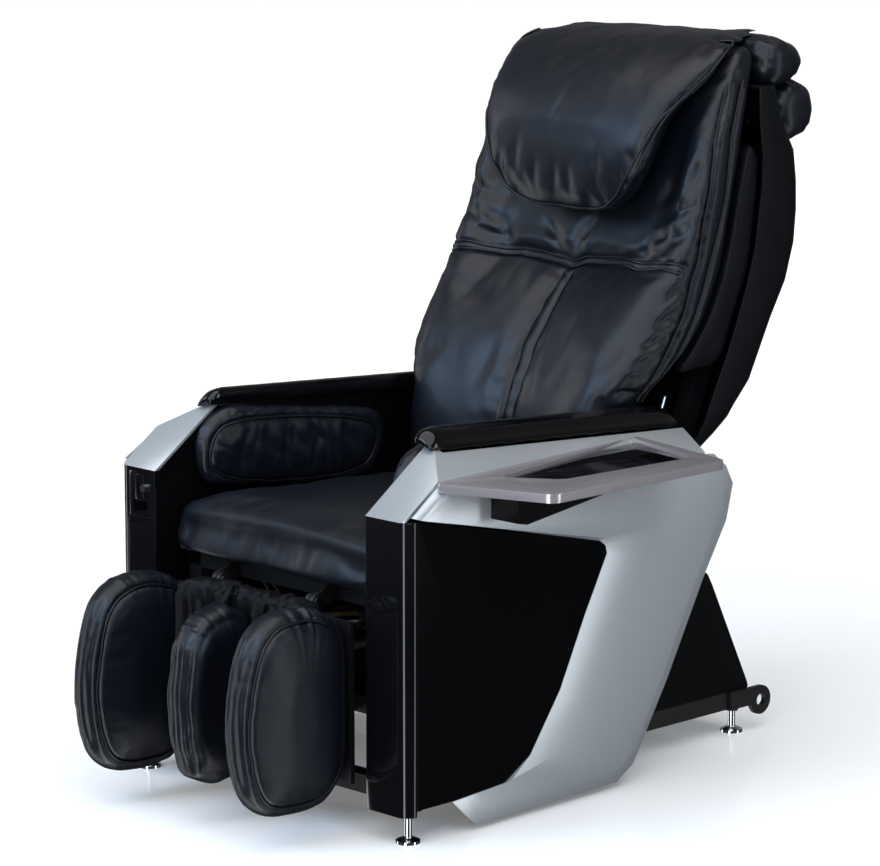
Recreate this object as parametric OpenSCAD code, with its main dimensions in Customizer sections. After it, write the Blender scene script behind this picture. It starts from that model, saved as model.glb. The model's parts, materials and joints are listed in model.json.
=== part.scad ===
// Coin-operated massage chair: two side pods, a reclining back, a lifting calf rest and the
// massage drive inside the back. Millimetres, +Z up, the sitter faces -Y and +X is the sitter's left.
// Each module is drawn on the chair's own middle plane and floor, and at_frame() moves it so that
// the middle of the chair's footprint is the origin.

/* [Overall] */
// Gap between the two side pods, where the sitter sits
pod_gap = 490; // [480:2:520]
// Width of one side pod, from its inner wall to its front panel's outer face
pod_w = 90; // [88:1:110]
// Length of a side pod from its front face to the furthest point of its shell
pod_d = 752; // [730:2:780]
// Height of the armrest line where the hood meets the armrest
arm_h = 591; // [585:1:605]
// Height of the seat cushion's front edge above the floor
seat_h = 462; // [450:1:468]
// Angle at which the armrest falls to the rear
arm_fall = 3.4; // [3:0.1:4]

/* [Side shells] */
// How far the silver shell stands out past the front panel
shell_proud = 8; // [4:1:12]
// Width of the slanted or rounded edge all round the shell's flat face
shell_edge = 18; // [16:1:20]
// Wall of the moulded panels
panel_wall = 4; // [3:0.5:5]
// Corner radius of the front panels
front_corner_r = 22; // [18:1:26]
// Drop of the sloping shoulder beside the armrest
shoulder_drop = 34; // [28:1:38]

/* [Armrests] */
// Width of the gloss armrest cap
cap_w = 44; // [40:1:48]
// Height of the armrest cap's crown
cap_h = 32; // [26:1:36]
// How far the cap hangs over the inner wall
cap_overhang = 14; // [8:1:18]
// Thickness of the padded cushion on the inner side of an armrest
arm_pad_t = 40; // [30:1:44]

/* [Tray] */
// Drop of the tray's top face below the armrest line
tray_drop = 31; // [27:1:35]
// Thickness of the tray's rim
tray_t = 14; // [10:1:16]
// Reach of the tray beyond the front panel's outer face
tray_reach = 182; // [150:2:200]
// Depth of the black dish in the tray
tray_dish = 6; // [4:1:8]
// Thickness of the black dish's floor
tray_insert_t = 4; // [3:0.5:5]

/* [Seat] */
// Thickness of the seat cushion at its front edge
seat_t = 74; // [60:1:80]
// Fall of the seat cushion's top from front to rear
seat_fall = 30; // [20:1:36]
// Thickness of the board under the cushion
seat_board_t = 12; // [9:1:15]

/* [Back] */
// Widest width of the backrest cushion
back_w = 530; // [520:2:540]
// Height of the backrest cushion, from its lower edge to its top
back_h = 750; // [740:2:770]
// How far the cushion's side edge leans back from bottom to top
back_rake = 303; // [300:1:308]
// Bulge of the cushion's lumbar part in front of its side seams
back_crown = 76; // [66:1:80]
// Thickness of the cushion at its side edges
back_t = 60; // [50:1:62]
// Wall of the moulded back shell
back_shell_wall = 5; // [4:0.5:6]
// Width of the head pillow
pillow_w = 470; // [440:2:480]

/* [Calf rest] */
// Width over the outer walls of the calf rest
calf_w = 430; // [410:2:440]
// Thickness of each outer wall
calf_wall_t = 72; // [60:1:80]
// Thickness of the middle divider
calf_divider_t = 56; // [44:1:64]

/* [Steel frame] */
// Side of the square tubes of the base and seat frames
tube = 30; // [28:1:32]
// Wall of the tubes
tube_wall = 2; // [1.5:0.5:3]
// Side of the pod frames' square tubes
pod_tube = 25; // [20:1:28]
// Radius of the backrest's hinge pins
back_pin_r = 10; // [8:0.5:11]
// Radius of the calf rest's hinge pins
calf_pin_r = 8; // [6:0.5:9]
// Radius of the hole in each anchor lug
lug_hole_r = 10.5; // [8:0.5:12]
// Outer radius of each anchor lug
lug_r = 25; // [22:1:28]
// Thickness of each anchor lug
lug_t = 8; // [6:1:10]

/* [Massage drive] */
// Radius of a massage roller
roller_r = 25; // [20:1:28]
// Width of a massage roller
roller_w = 22; // [16:1:28]
// Distance between the left and right rollers' middle planes
roller_gap = 120; // [110:2:140]
// Travel of the carriage along the back
carriage_travel = 300; // [200:10:300]
// Radius of the carriage's guide rods
rail_r = 8; // [6:0.5:10]
// Radius of the lift screw
screw_r = 8; // [6:0.5:9]

/* [Coin unit] */
// Width of the coin unit's plate
coin_plate_w = 50; // [46:1:52]
// Height of the coin unit's plate
coin_plate_h = 72; // [68:1:80]
// Width of the cash door
door_w = 46; // [40:1:48]
// Height of the cash door
door_h = 300; // [200:5:310]
// Length of the coin slot
slot_len = 28; // [26:1:30]
// Width of the coin slot
slot_w = 4; // [3:0.5:5]
// Radius of the reject button
reject_r = 6; // [5:0.5:7]

/* [Hidden] */
$fn = 48;

// Clearances and overruns
// Gap between soft pieces and what they lie against
seat_gap = 0.3;
// Gap between two covers that meet
cover_gap = 1;
// Gap round a turning or sliding pin
run_gap = 0.05;
// Overrun of every cut
cut = 1;

// Colours
leather_c = [0.10, 0.11, 0.15];
gloss_c = [0.05, 0.05, 0.06];
silver_c = [0.72, 0.75, 0.78];
steel_c = [0.18, 0.18, 0.19];
chrome_c = [0.85, 0.86, 0.88];

// Places in the chair's own frame
pod_in = pod_gap / 2;
pod_out = pod_in + pod_w;
shell_out = pod_out + shell_proud;
shell_in = shell_out - shell_edge;
pod_front = -472;
hood_foot_z = 507;
hood_top_y = -338;
panel_foot_z = 47;
tray_out = pod_out + tray_reach;
calf_front = -690;
bolster_back = 581;
frame_x = (shell_out - tray_out) / 2;
frame_y = -(calf_front + bolster_back) / 2;

// Geometry helpers
function lerp(a, b, t) = a + (b - a) * t;
function unit(v) = v / norm(v);
function left_of(v) = [-v[1], v[0]];
// Moves each corner of an anticlockwise outline inward by d
function inset(p, d) = [for (i = [0:len(p) - 1])
  let (a = p[(i + len(p) - 1) % len(p)], b = p[i], c = p[(i + 1) % len(p)],
       m = left_of(unit(b - a)), n = left_of(unit(c - b)))
  b + d * (m + n) / max(1 + m * n, 0.3)];
// Rounds each corner of an outline, starting the curve at most r away from the corner
function rounded(p, r, n = 4) = [for (i = [0:len(p) - 1])
  let (a = p[(i + len(p) - 1) % len(p)], b = p[i], c = p[(i + 1) % len(p)],
       ra = min(r, 0.45 * norm(a - b)), rc = min(r, 0.45 * norm(c - b)),
       s = b + unit(a - b) * ra, e = b + unit(c - b) * rc)
  for (k = [0:n]) let (t = k / n) s * (1 - t) * (1 - t) + b * 2 * t * (1 - t) + e * t * t];
// A rounded square ring of n points with half sizes a and b; a larger p is squarer
function super_ring(n, a, b, p) = [for (i = [0:n - 1])
  let (c = cos(360 * i / n), s = sin(360 * i / n))
  [a * sign(c) * pow(abs(c), 2 / p), b * sign(s) * pow(abs(s), 2 / p)]];
function in_yz(x, p) = [for (q = p) [x, q[0], q[1]]];
// Points given as shares of the pod's length and of the armrest's height
function pod_pts(s) = [for (q = s) [pod_front + q[0] * pod_d, q[1] * arm_h]];
// Height of the armrest line at y
function arm_z(y) = arm_h - (y - hood_top_y) * tan(arm_fall);

module at_frame() translate([frame_x, frame_y, 0]) children();
module mirrored(side) mirror([side < 0 ? 1 : 0, 0, 0]) children();
// A plate whose outline lies in the YZ plane, from x to x + t
module yz_plate(p, x, t) translate([x, 0, 0]) rotate([90, 0, 90]) linear_extrude(t) polygon(p);
module box(lo, hi) translate(lo) cube(hi - lo);
module x_rod(r, x0, x1, y, z) translate([x0, y, z]) rotate([0, 90, 0]) cylinder(r = r, h = x1 - x0);
module y_rod(r, y0, y1, x, z) translate([x, y0, z]) rotate([-90, 0, 0]) cylinder(r = r, h = y1 - y0);
// Triangles that close a ring of n points, from strips that join point i to point n - 1 - i
function strip_cap(n) = let (h = floor(n / 2)) concat(
  [for (i = [0:h - 2]) each [[i, i + 1, n - 1 - i], [i + 1, n - 2 - i, n - 1 - i]]],
  n % 2 == 0 ? [] : [[h - 1, h, h + 1]]);
// A closed body through rings of equally many points, each ring anticlockwise seen from the last.
// cap lists the triangles of a ring whose outline is too hollow for plain strips
module loft(rings, cap = []) {
  n = len(rings[0]);
  m = len(rings);
  ends = len(cap) > 0 ? cap : strip_cap(n);
  polyhedron(
    points = [for (r = rings) for (p = r) p],
    faces = concat(ends,
      [for (j = [0:m - 2]) for (i = [0:n - 1]) let (k = (i + 1) % n, a = j * n, b = a + n)
        each [[a + i, b + i, b + k], [a + i, b + k, a + k]]],
      [for (t = ends) [for (i = [2:-1:0]) (m - 1) * n + t[i]]]));
}
// A square tube between two corners, open along one axis (0 = X, 1 = Y, 2 = Z)
module tube_box(lo, hi, axis) {
  w = [for (i = [0:2]) i == axis ? -cut : tube_wall];
  difference() {
    box(lo, hi);
    box(lo + w, hi - w);
  }
}

// Outlines of the side pods, as shares of the pod's length and the armrest's height
// Rear edge of the shell, from the armrest down to the floor
rear_edge_shares = [
  [0.935, 0.878], [0.975, 0.838], [0.998, 0.785], [0.978, 0.685],
  [0.905, 0.536], [0.790, 0.272], [0.685, 0.059], [0.633, 0.020]];
// Edge of the shell round the black side panel, from the floor up to the hood
panel_edge_shares = [
  [0.195, 0.019], [0.129, 0.096], [0.283, 0.108], [0.358, 0.166], [0.447, 0.323], [0.521, 0.513],
  [0.588, 0.668], [0.583, 0.692], [0.565, 0.707], [0.558, 0.709], [0.016, 0.870]];
// Edge of the shell's flat face, matching the two lists above point for point
flat_rear_shares = [
  [0.905, 0.836], [0.932, 0.808], [0.943, 0.770], [0.927, 0.722],
  [0.880, 0.604], [0.765, 0.330], [0.668, 0.118], [0.615, 0.072]];
flat_panel_shares = [
  [0.205, 0.062], [0.200, 0.108], [0.300, 0.117], [0.448, 0.140], [0.520, 0.250], [0.600, 0.430],
  [0.690, 0.644], [0.713, 0.700], [0.700, 0.726], [0.566, 0.716], [0.036, 0.862]];
// Places along the armrest where the shell's top edge has a corner
shoulder_y_shares = [0.112, 0.178, 0.450, 0.720, 0.850];
// Height of the armrest line's inner side above its outer side
shoulder_rise = 12;
arm_end_share = 0.91;
pod_end = pod_front + arm_end_share * pod_d;
hood_slope = (arm_h + shoulder_rise - hood_foot_z) / (hood_top_y - pod_front);
hood_angle = atan(hood_slope);
cap_in = pod_in - cap_overhang;
cap_out = cap_in + cap_w;
// Height of the shell's edge at y: the hood's slope, or the lower side of the shoulder
function edge_z(y) = min(hood_foot_z + (y - pod_front) * hood_slope, arm_z(y) - shoulder_drop);
rim_top = [for (s = shoulder_y_shares) let (y = pod_front + s * pod_d) [y, edge_z(y)]];
flat_top = [for (s = shoulder_y_shares) let (y = pod_front + s * pod_d)
  [min(y + shell_edge / 2, y + shell_edge * (0.7 - s)), edge_z(y) - shell_edge]];
rim_line = concat(rim_top, pod_pts(concat(rear_edge_shares, panel_edge_shares)));
flat_line = concat(flat_top, pod_pts(concat(flat_rear_shares, flat_panel_shares)));
// The shell's edge: it stands on shell_in at the top and rear, and on the side panel's face elsewhere
edge_lip = 3;
outer_count = len(rim_top) + len(rear_edge_shares);
edge_share = 0.38;
function edge_x(i, lip) = lip + (i < outer_count ? shell_in : pod_out - edge_lip);
function reversed(p) = [for (i = [len(p) - 1:-1:0]) p[i]];
// Triangles across the shell's outline, from the hood's end round to its foot
shell_cap = [[23, 0, 1], [23, 1, 22], [22, 1, 21], [21, 1, 2], [21, 2, 20], [20, 2, 3], [20, 3, 19],
  [19, 3, 18], [18, 3, 17], [17, 3, 16], [16, 3, 15], [15, 3, 4], [15, 4, 14], [14, 4, 5],
  [14, 5, 13], [13, 5, 6], [13, 6, 12], [12, 6, 7], [12, 7, 11], [11, 7, 8], [11, 8, 9],
  [11, 9, 10]];
// A ring of the shell's outer face, d outside it: the edge's foot, its lip, its bend or its flat face
function shell_edge_ring(k, d) = let (rim = reversed(inset(reversed(rim_line), -d)),
    flat = reversed(inset(reversed(flat_line), -d)))
  reversed([for (i = [0:len(rim_line) - 1])
    let (x0 = edge_x(i, edge_lip), soft = i < len(rim_top) + 2, t = soft ? edge_share : 2 / 3,
         q = k < 2 ? rim[i] : k == 2 ? lerp(rim[i], flat[i], t) : flat[i])
    [d + (k == 0 ? edge_x(i, 0) : k == 1 ? x0 : k == 2 ? lerp(x0, shell_out, 2 / 3) : shell_out), q[0], q[1]]]);

// The space under the hood and the armrest, d below their faces, out to x = out
module arm_solid(d, out) {
  d_hood = d / cos(hood_angle);
  deep = arm_h / 4;
  intersection() {
    yz_plate([[pod_front, hood_foot_z - d_hood], [pod_front, hood_foot_z - deep],
      [pod_end, arm_z(pod_end) - deep], [pod_end, arm_z(pod_end) + shoulder_rise - d],
      [hood_top_y, arm_h + shoulder_rise - d_hood]], pod_in, out - pod_in);
    translate([0, pod_end, arm_z(pod_end)]) rotate([90 - arm_fall, 0, 0])
      linear_extrude(pod_d)
        polygon([[pod_in, -deep - deep], [out, -deep - deep], [out, -shoulder_drop - d],
          [cap_out, -d], [pod_in, shoulder_rise - d]]);
  }
}

module side_shell(side) at_frame() mirrored(side) color(silver_c) {
  wall = panel_wall;
  rim = reversed(rim_line);
  flat = reversed(flat_line);
  // Moulded side with its slanted edges
  inner_rim = inset(rim, wall);
  n = len(rim);
  loft([
    in_yz(shell_out - wall, inset(flat, wall)),
    [for (i = [0:n - 1]) [edge_x(n - 1 - i, 0), inner_rim[i][0], inner_rim[i][1]]],
    shell_edge_ring(0, 0), shell_edge_ring(1, 0), shell_edge_ring(2, 0), shell_edge_ring(3, 0)], shell_cap);
  // Hood and sloping shoulder, open under the armrest cap
  difference() {
    arm_solid(0, shell_in + cut);
    translate([-cut, cut, 0]) arm_solid(wall, shell_in + cut + cut + cut);
    box([pod_in - cut, hood_top_y, 0], [cap_out + cover_gap, pod_end + cut, arm_h + arm_h]);
    box([pod_in - cut, pod_front - cut, 0], [shell_out, pod_end + cut, hood_foot_z]);
    // Rounded corner above the front panel
    translate([pod_out - front_corner_r, pod_front + front_corner_r, 0]) difference() {
      translate([0, -front_corner_r - cut, 0]) cube([pod_w, front_corner_r + cut, arm_h]);
      cylinder(r = front_corner_r, h = arm_h);
    }
  }
}

// Outline of the pod's inner wall and back: inside the shell's rear edge, under the hood
liner_step = 8;
liner_rear = [for (s = rear_edge_shares) pod_pts([s])[0] - [liner_step, 0]];
liner_foot_share = 0.62;
// Depth of the hood's lower face under its upper one
hood_drop = panel_wall / cos(hood_angle) + cut * hood_slope + seat_gap * 2;
liner_line = concat(
  [[pod_front + panel_wall + run_gap, panel_foot_z],
   [pod_front + liner_foot_share * pod_d, panel_foot_z]],
  [for (i = [len(liner_rear) - 2:-1:0]) liner_rear[i]],
  [[liner_rear[0][0] - liner_step, arm_z(liner_rear[0][0]) + shoulder_rise - tube_wall],
   [hood_top_y + seat_gap, arm_h + shoulder_rise - tube_wall],
   [hood_top_y + seat_gap, arm_h + shoulder_rise - hood_drop],
   [pod_front + panel_wall + run_gap, hood_foot_z - panel_wall - cover_gap]]);

module inner_panel(side) at_frame() mirrored(side) color(gloss_c) difference() {
  union() {
    yz_plate(liner_line, pod_in, panel_wall);
    // Back wall of the pod, following the shell's rear edge
    difference() {
      yz_plate(liner_line, pod_in, shell_in - pod_in - panel_wall);
      yz_plate(inset(liner_line, panel_wall), pod_in - cut, pod_w);
      box([pod_in - cut, pod_front - cut, 0], [pod_out, pod_front + liner_foot_share * pod_d, arm_h + arm_h]);
      box([pod_in - cut, pod_front, arm_z(0) - shoulder_drop - deep_cut], [pod_out, pod_d, arm_h + arm_h]);
    }
  }
  for (p = frame_stubs)
    box([pod_in - cut, p[0] - seat_gap, p[1] - seat_gap],
      [pod_in + panel_wall + cut, p[0] + tube + seat_gap, p[1] + tube + seat_gap]);
}
deep_cut = 40;

// Shell of the front panel: flat front and one rounded outer corner
module front_shell(z0, z1) {
  r = front_corner_r;
  box([pod_in, pod_front, z0], [pod_out - r, pod_front + panel_wall, z1]);
  translate([pod_out - r, pod_front + r, z0]) rotate([0, 0, -90])
    rotate_extrude(angle = 90) translate([r - panel_wall, 0]) square([panel_wall, z1 - z0]);
}
module front_panel_left() at_frame() color(gloss_c) front_shell(panel_foot_z, hood_foot_z - seat_gap);
module front_panel_right() at_frame() color(gloss_c) difference() {
  union() {
    mirrored(-1) front_shell(panel_foot_z, hood_foot_z - seat_gap);
    // Fixed knuckles of the door's hinge, above and below the door
    for (z = [door_z - knuckle_h - cover_gap, door_z + door_h + cover_gap])
      translate([hinge_x, pod_front, z]) cylinder(r = knuckle_r, h = knuckle_h);
  }
  translate([hinge_x, pod_front, door_z - 2 * knuckle_h]) cylinder(r = door_pin_r + run_gap, h = door_h + 4 * knuckle_h);
  box([coin_x - coin_plate_w / 2 - seat_gap, pod_front - cut, coin_z - seat_gap],
    [coin_x + coin_plate_w / 2 + seat_gap, pod_front + panel_wall + cut, coin_z + coin_plate_h + seat_gap]);
  box([hinge_x - knuckle_r - cover_gap, pod_front - knuckle_r - cut, door_z - cover_gap],
    [door_x0 + door_w + door_gap, pod_front + panel_wall + cut, door_z + door_h + cover_gap]);
}

module side_inset(side) at_frame() mirrored(side) color(gloss_c) {
  p = pod_pts([for (i = [1:9]) panel_edge_shares[i]]);
  y0 = pod_front + front_corner_r;
  outline = concat([[y0, p[0][1]]], p, [[y0, hood_foot_z]]);
  yz_plate(rounded(inset(outline, seat_gap), panel_wall), pod_out - panel_wall, panel_wall);
}

// Armrest cap: profile across the arm as shares of its width and height, from outside to inside
cap_profile_shares = [[1, 0.16], [0.95, 0.48], [0.82, 0.74], [0.62, 0.93], [0.42, 1], [0.22, 0.98],
  [0.07, 0.88], [0, 0.72]];
// Stations from the rear end to the nose: place along the arm, and shares of width and height
cap_station_shares = [[1, 0.86, 0.40], [0.985, 0.94, 0.72], [0.95, 1, 0.92], [0.85, 1, 1], [0.40, 1, 1],
  [0.06, 1, 1], [0.025, 0.95, 0.86], [0, 0.80, 0.40]];
cap_reach = 24;
cap_tail_share = 0.905;
cap_nose_y = hood_top_y - cap_reach;
cap_tail_y = pod_front + cap_tail_share * pod_d;
cap_lip = 4;
function cap_ring(s) =
  let (y = lerp(cap_nose_y, cap_tail_y, s[0]), z = arm_z(y) + seat_gap, mid = cap_in + cap_w / 2,
       x0 = lerp(mid, cap_in, s[1]), x1 = lerp(mid, cap_out, s[1]), step = pod_in - cover_gap)
  concat([[x0, y, z + shoulder_rise - cap_lip], [step, y, z + shoulder_rise - cap_lip],
      [step, y, z + shoulder_rise], [x1, y, z + cap_lip * (1 - s[1])]],
    [for (c = cap_profile_shares) let (b = shoulder_rise * (1 - c[0]))
      [lerp(x0, x1, c[0]), y, z + b + (c[1] * cap_h - b / 2) * s[2]]]);
module arm_cap(side) at_frame() mirrored(side) color(gloss_c)
  loft([for (s = cap_station_shares) cap_ring(s)]);

// A stuffed pad: an outline in the YZ plane, drawn in at its edges and crowned on its faces
pad_share = [[0, 0.93], [0.10, 0.985], [0.45, 1], [0.72, 0.975], [0.90, 0.90], [1, 0.72]];
slab_share = [[0, 0.72], [0.10, 0.90], [0.28, 0.985], [0.72, 0.985], [0.90, 0.90], [1, 0.72]];
function middle(p) = [for (k = [0, 1]) (max([for (q = p) q[k]]) + min([for (q = p) q[k]])) / 2];
module pad(outline, x, t, form) {
  m = middle(outline);
  loft([for (s = form) in_yz(x + s[0] * t, [for (q = outline) m + (q - m) * s[1]])]);
}
arm_pad_corner = 44;
arm_pad_shares = [[0.096, 0.802], [0.582, 0.746], [0.643, 0.835], [0.628, 0.926], [0.160, 0.998],
  [0.088, 0.935]];
module arm_pad(side) at_frame() mirrored(side) color(leather_c)
  translate([pod_in - seat_gap, 0, 0]) mirror([1, 0, 0])
    pad(rounded(pod_pts(arm_pad_shares), arm_pad_corner, 4), 0, arm_pad_t, pad_share);

// Tray
tray_shares = [0.0838, 0.7593];
tray_front_y = pod_front + tray_shares[0] * pod_d;
tray_back_y = pod_front + tray_shares[1] * pod_d;
tray_h = arm_h - tray_drop;
tray_corner = 16;
tray_tuck = 5;
tray_root = pod_in + shell_edge;
tray_front_step = 67;
tray_back_step = 55;
tray_plan = [[pod_out - tray_tuck, tray_front_y], [tray_out, tray_front_y + tray_front_step],
  [tray_out, tray_back_y - tray_back_step], [tray_root, tray_back_y]];
// Opening of the dish, as shares of the tray's reach and length
dish_shares = [[0.40, 0.21], [0.715, 0.32], [0.79, 0.86], [0.08, 0.96]];
dish_plan = [for (s = dish_shares)
  [lerp(tray_root, tray_out, s[0]), lerp(tray_front_y, tray_back_y, s[1])]];
module tray_frame() at_frame() color(silver_c) {
  pocket = tray_dish + tray_insert_t;
  difference() {
    translate([0, 0, tray_h - tray_t]) linear_extrude(tray_t) polygon(rounded(tray_plan, tray_corner));
    translate([0, 0, tray_h - pocket]) linear_extrude(pocket + cut) polygon(rounded(dish_plan, tray_corner));
    // Clearance round the shell's shoulder and edge, and under the cap
    translate([0, 0, seat_gap]) arm_solid(-seat_gap, shell_in + cut + seat_gap);
    loft([in_yz(pod_in, inset(reversed(rim_line), -seat_gap)), shell_edge_ring(0, seat_gap),
      shell_edge_ring(1, seat_gap), shell_edge_ring(2, seat_gap), shell_edge_ring(3, seat_gap)], shell_cap);
  }
}
module tray_insert() at_frame() color(gloss_c) difference() {
  translate([0, 0, tray_h - tray_dish - tray_insert_t]) linear_extrude(tray_insert_t)
    polygon(rounded(inset(dish_plan, seat_gap), tray_corner));
  translate([0, 0, seat_gap]) arm_solid(-seat_gap, shell_in + cut + seat_gap);
}
// Wedge bracket under the tray
bracket_w = 58;
bracket_front_y = -300;
bracket_back_y = 0;
bracket_h = 54;
bracket_nose = 20;
module tray_bracket() at_frame() color(steel_c) {
  top = tray_h - tray_t;
  yz_plate([[bracket_front_y, top - bracket_h], [bracket_front_y + bracket_nose, top - bracket_h - panel_wall],
    [bracket_back_y, top - bracket_nose], [bracket_back_y, top], [bracket_front_y, top]],
    shell_out + seat_gap, bracket_w);
}

// Coin unit in the right pod's front panel
coin_inset = 38;
coin_x = -(pod_in + coin_inset);
coin_z = 428;
door_gap = 0.5;
knuckle_r = 2.4;
knuckle_h = 9;
door_pin_r = 1.2;
hinge_x = -(pod_out - front_corner_r - knuckle_r);
door_x0 = hinge_x + seat_gap;
door_z = 112;
plate_t = 3;
module coin_plate() at_frame() color(gloss_c) {
  x0 = coin_x - coin_plate_w / 2;
  difference() {
    union() {
      box([x0, pod_front, coin_z], [x0 + coin_plate_w, pod_front + panel_wall, coin_z + coin_plate_h]);
      // Raised bezel round the slot
      box([coin_x - slot_w - plate_t, pod_front - plate_t, slot_z - plate_t - plate_t],
        [coin_x + slot_w + plate_t, pod_front, slot_z + slot_len + plate_t + plate_t]);
    }
    box([coin_x - slot_w / 2, pod_front - plate_t - cut, slot_z],
      [coin_x + slot_w / 2, pod_front + panel_wall + cut, slot_z + slot_len]);
    y_rod(reject_r + run_gap, pod_front - cut, pod_front + panel_wall + cut, reject_x, reject_z);
    box(cup_lo - [0, cut, 0], cup_hi);
  }
}
slot_drop = 10;
reject_margin = 5;
slot_z = coin_z + coin_plate_h - slot_len - slot_drop;
reject_x = coin_x + coin_plate_w / 2 - reject_r - reject_margin;
reject_z = slot_z + slot_len / 2;
reject_travel = 3;
reject_len = 12;
cup_w = 34;
cup_h = 20;
cup_deep = 30;
cup_lift = 5;
cup_lo = [coin_x - cup_w / 2, pod_front, coin_z + cup_lift];
cup_hi = cup_lo + [cup_w, panel_wall + cut, cup_h];
module reject_button() at_frame() color(chrome_c) {
  y_rod(reject_r, pod_front - reject_travel - plate_t, pod_front + panel_wall, reject_x, reject_z);
  y_rod(reject_r + plate_t / 2, pod_front + panel_wall, pod_front + panel_wall + plate_t / 2, reject_x, reject_z);
}
module return_cup() at_frame() color(steel_c) {
  w = plate_t / 2;
  y0 = pod_front + panel_wall;
  difference() {
    box([cup_lo[0] - w, y0, cup_lo[2] - w], [cup_lo[0] + cup_w + w, y0 + cup_deep, cup_lo[2] + cup_h + w]);
    box([cup_lo[0], y0 - cut, cup_lo[2]], [cup_lo[0] + cup_w, y0 + cup_deep - w, cup_lo[2] + cup_h]);
    // Chute mouth in the cup's roof
    box([coin_x - slot_w, y0 + cup_deep / 2, cup_lo[2]], [coin_x + slot_w, y0 + cup_deep - w - w, coin_z + coin_plate_h]);
  }
}
acceptor_w = 40;
acceptor_deep = 96;
module coin_acceptor() at_frame() color(steel_c) {
  y0 = pod_front + panel_wall + reject_travel + plate_t;
  z0 = cup_lo[2] + cup_h + plate_t / 2;
  difference() {
    union() {
      box([coin_x - acceptor_w / 2, y0, z0], [coin_x + acceptor_w / 2, y0 + acceptor_deep, coin_z + coin_plate_h - plate_t]);
      // Mouth that reaches the slot
      box([coin_x - slot_w, pod_front + panel_wall, slot_z - plate_t],
        [coin_x + slot_w, y0, slot_z + slot_len + plate_t]);
    }
    box([coin_x - slot_w / 2, pod_front + panel_wall - cut, slot_z],
      [coin_x + slot_w / 2, y0 + acceptor_deep / 2, slot_z + slot_len]);
    // Coin drop to the cash box and window for the sorting gate
    box([coin_x - slot_w / 2, y0 + acceptor_deep / 2 - slot_w, z0 - cut],
      [coin_x + slot_w / 2, y0 + acceptor_deep / 2, slot_z + slot_len]);
  }
}
cash_box_w = 44;
cash_box_deep = 90;
cash_box_h = 130;
cash_box_lift = 14;
cash_box_z = door_z + cash_box_lift;
module cash_box() at_frame() color(steel_c) {
  y0 = pod_front + panel_wall + lock_len;
  x0 = coin_x - cash_box_w / 2;
  w = tube_wall;
  difference() {
    box([x0, y0, cash_box_z], [x0 + cash_box_w, y0 + cash_box_deep, cash_box_z + cash_box_h]);
    box([x0 + w, y0 + w, cash_box_z + w],
      [x0 + cash_box_w - w, y0 + cash_box_deep - w, cash_box_z + cash_box_h + cut]);
  }
  // Shelf under the box, fixed to the pod frame
  box([x0, y0, cash_box_z - w], [-(pod_in + panel_wall), y0 + cash_box_deep, cash_box_z]);
}
lock_r = 8;
lock_len = 22;
lock_share = 0.62;
lock_z = door_z + door_h * lock_share;
lock_x = door_x0 + door_w - lock_r - plate_t;
module cash_door() at_frame() color(gloss_c) {
  difference() {
    union() {
      box([door_x0, pod_front, door_z], [door_x0 + door_w, pod_front + panel_wall, door_z + door_h]);
      translate([hinge_x, pod_front, door_z]) cylinder(r = knuckle_r, h = door_h);
    }
    y_rod(lock_r + run_gap, pod_front - cut - knuckle_r, pod_front + panel_wall + cut, lock_x, lock_z);
  }
  // Hinge pins that reach into the panel's knuckles
  translate([hinge_x, pod_front, door_z - knuckle_h]) cylinder(r = door_pin_r, h = door_h + knuckle_h + knuckle_h);
}
module door_lock() at_frame() color(chrome_c) {
  difference() {
    union() {
      y_rod(lock_r, pod_front - tube_wall, pod_front + lock_len - plate_t, lock_x, lock_z);
      y_rod(lock_r + plate_t / 2, pod_front - tube_wall - tube_wall, pod_front - seat_gap, lock_x, lock_z);
      // Cam, stored turned clear of the panel
      box([lock_x - lock_r / 2, pod_front + panel_wall + cut, lock_z - lock_r / 2],
        [lock_x + lock_r / 2, pod_front + panel_wall + cut + plate_t, lock_z + lock_r * 2]);
    }
    box([lock_x - cut, pod_front - lock_r, lock_z - lock_r / 2], [lock_x + cut, pod_front, lock_z + lock_r / 2]);
  }
}

// Seat
seat_front_y = -445;
seat_back_y = 45;
seat_board_z = seat_h - seat_t - seat_board_t;
seat_side_gap = 5;
seat_half_w = pod_in - seat_side_gap;
seat_crown = 10;
// Stations from the rear end to the front edge: place, and shares of thickness and of width
seat_station_shares = [[1, 0.50, 0.93], [0.985, 0.80, 0.975], [0.96, 0.93, 0.99], [0.90, 1, 1], [0.70, 1, 1],
  [0.50, 1, 1], [0.30, 1, 1], [0.16, 1, 1], [0.09, 0.985, 0.995], [0.045, 0.93, 0.985], [0.015, 0.80, 0.97],
  [0, 0.52, 0.94]];
function seat_ring(s) =
  let (t = seat_t - seat_fall * max(0, s[0] - 0.05), z0 = seat_board_z + seat_board_t + seat_gap,
       y = lerp(seat_front_y, seat_back_y, s[0]))
  [for (q = super_ring(36, 1, 1, 6))
    [q[0] * seat_half_w * s[2], y,
     z0 + t / 2 + q[1] * t / 2 * s[1] + max(0, q[1]) * seat_crown * s[1] * (1 - q[0] * q[0])]];
module seat_cushion() at_frame() color(leather_c) loft([for (s = seat_station_shares) seat_ring(s)]);
board_front_step = 17;
board_back_step = 5;
module seat_board() at_frame() color("burlywood")
  box([-rail_out, seat_front_y + board_front_step, seat_board_z],
    [rail_out, seat_back_y - board_back_step, seat_board_z + seat_board_t]);

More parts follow.
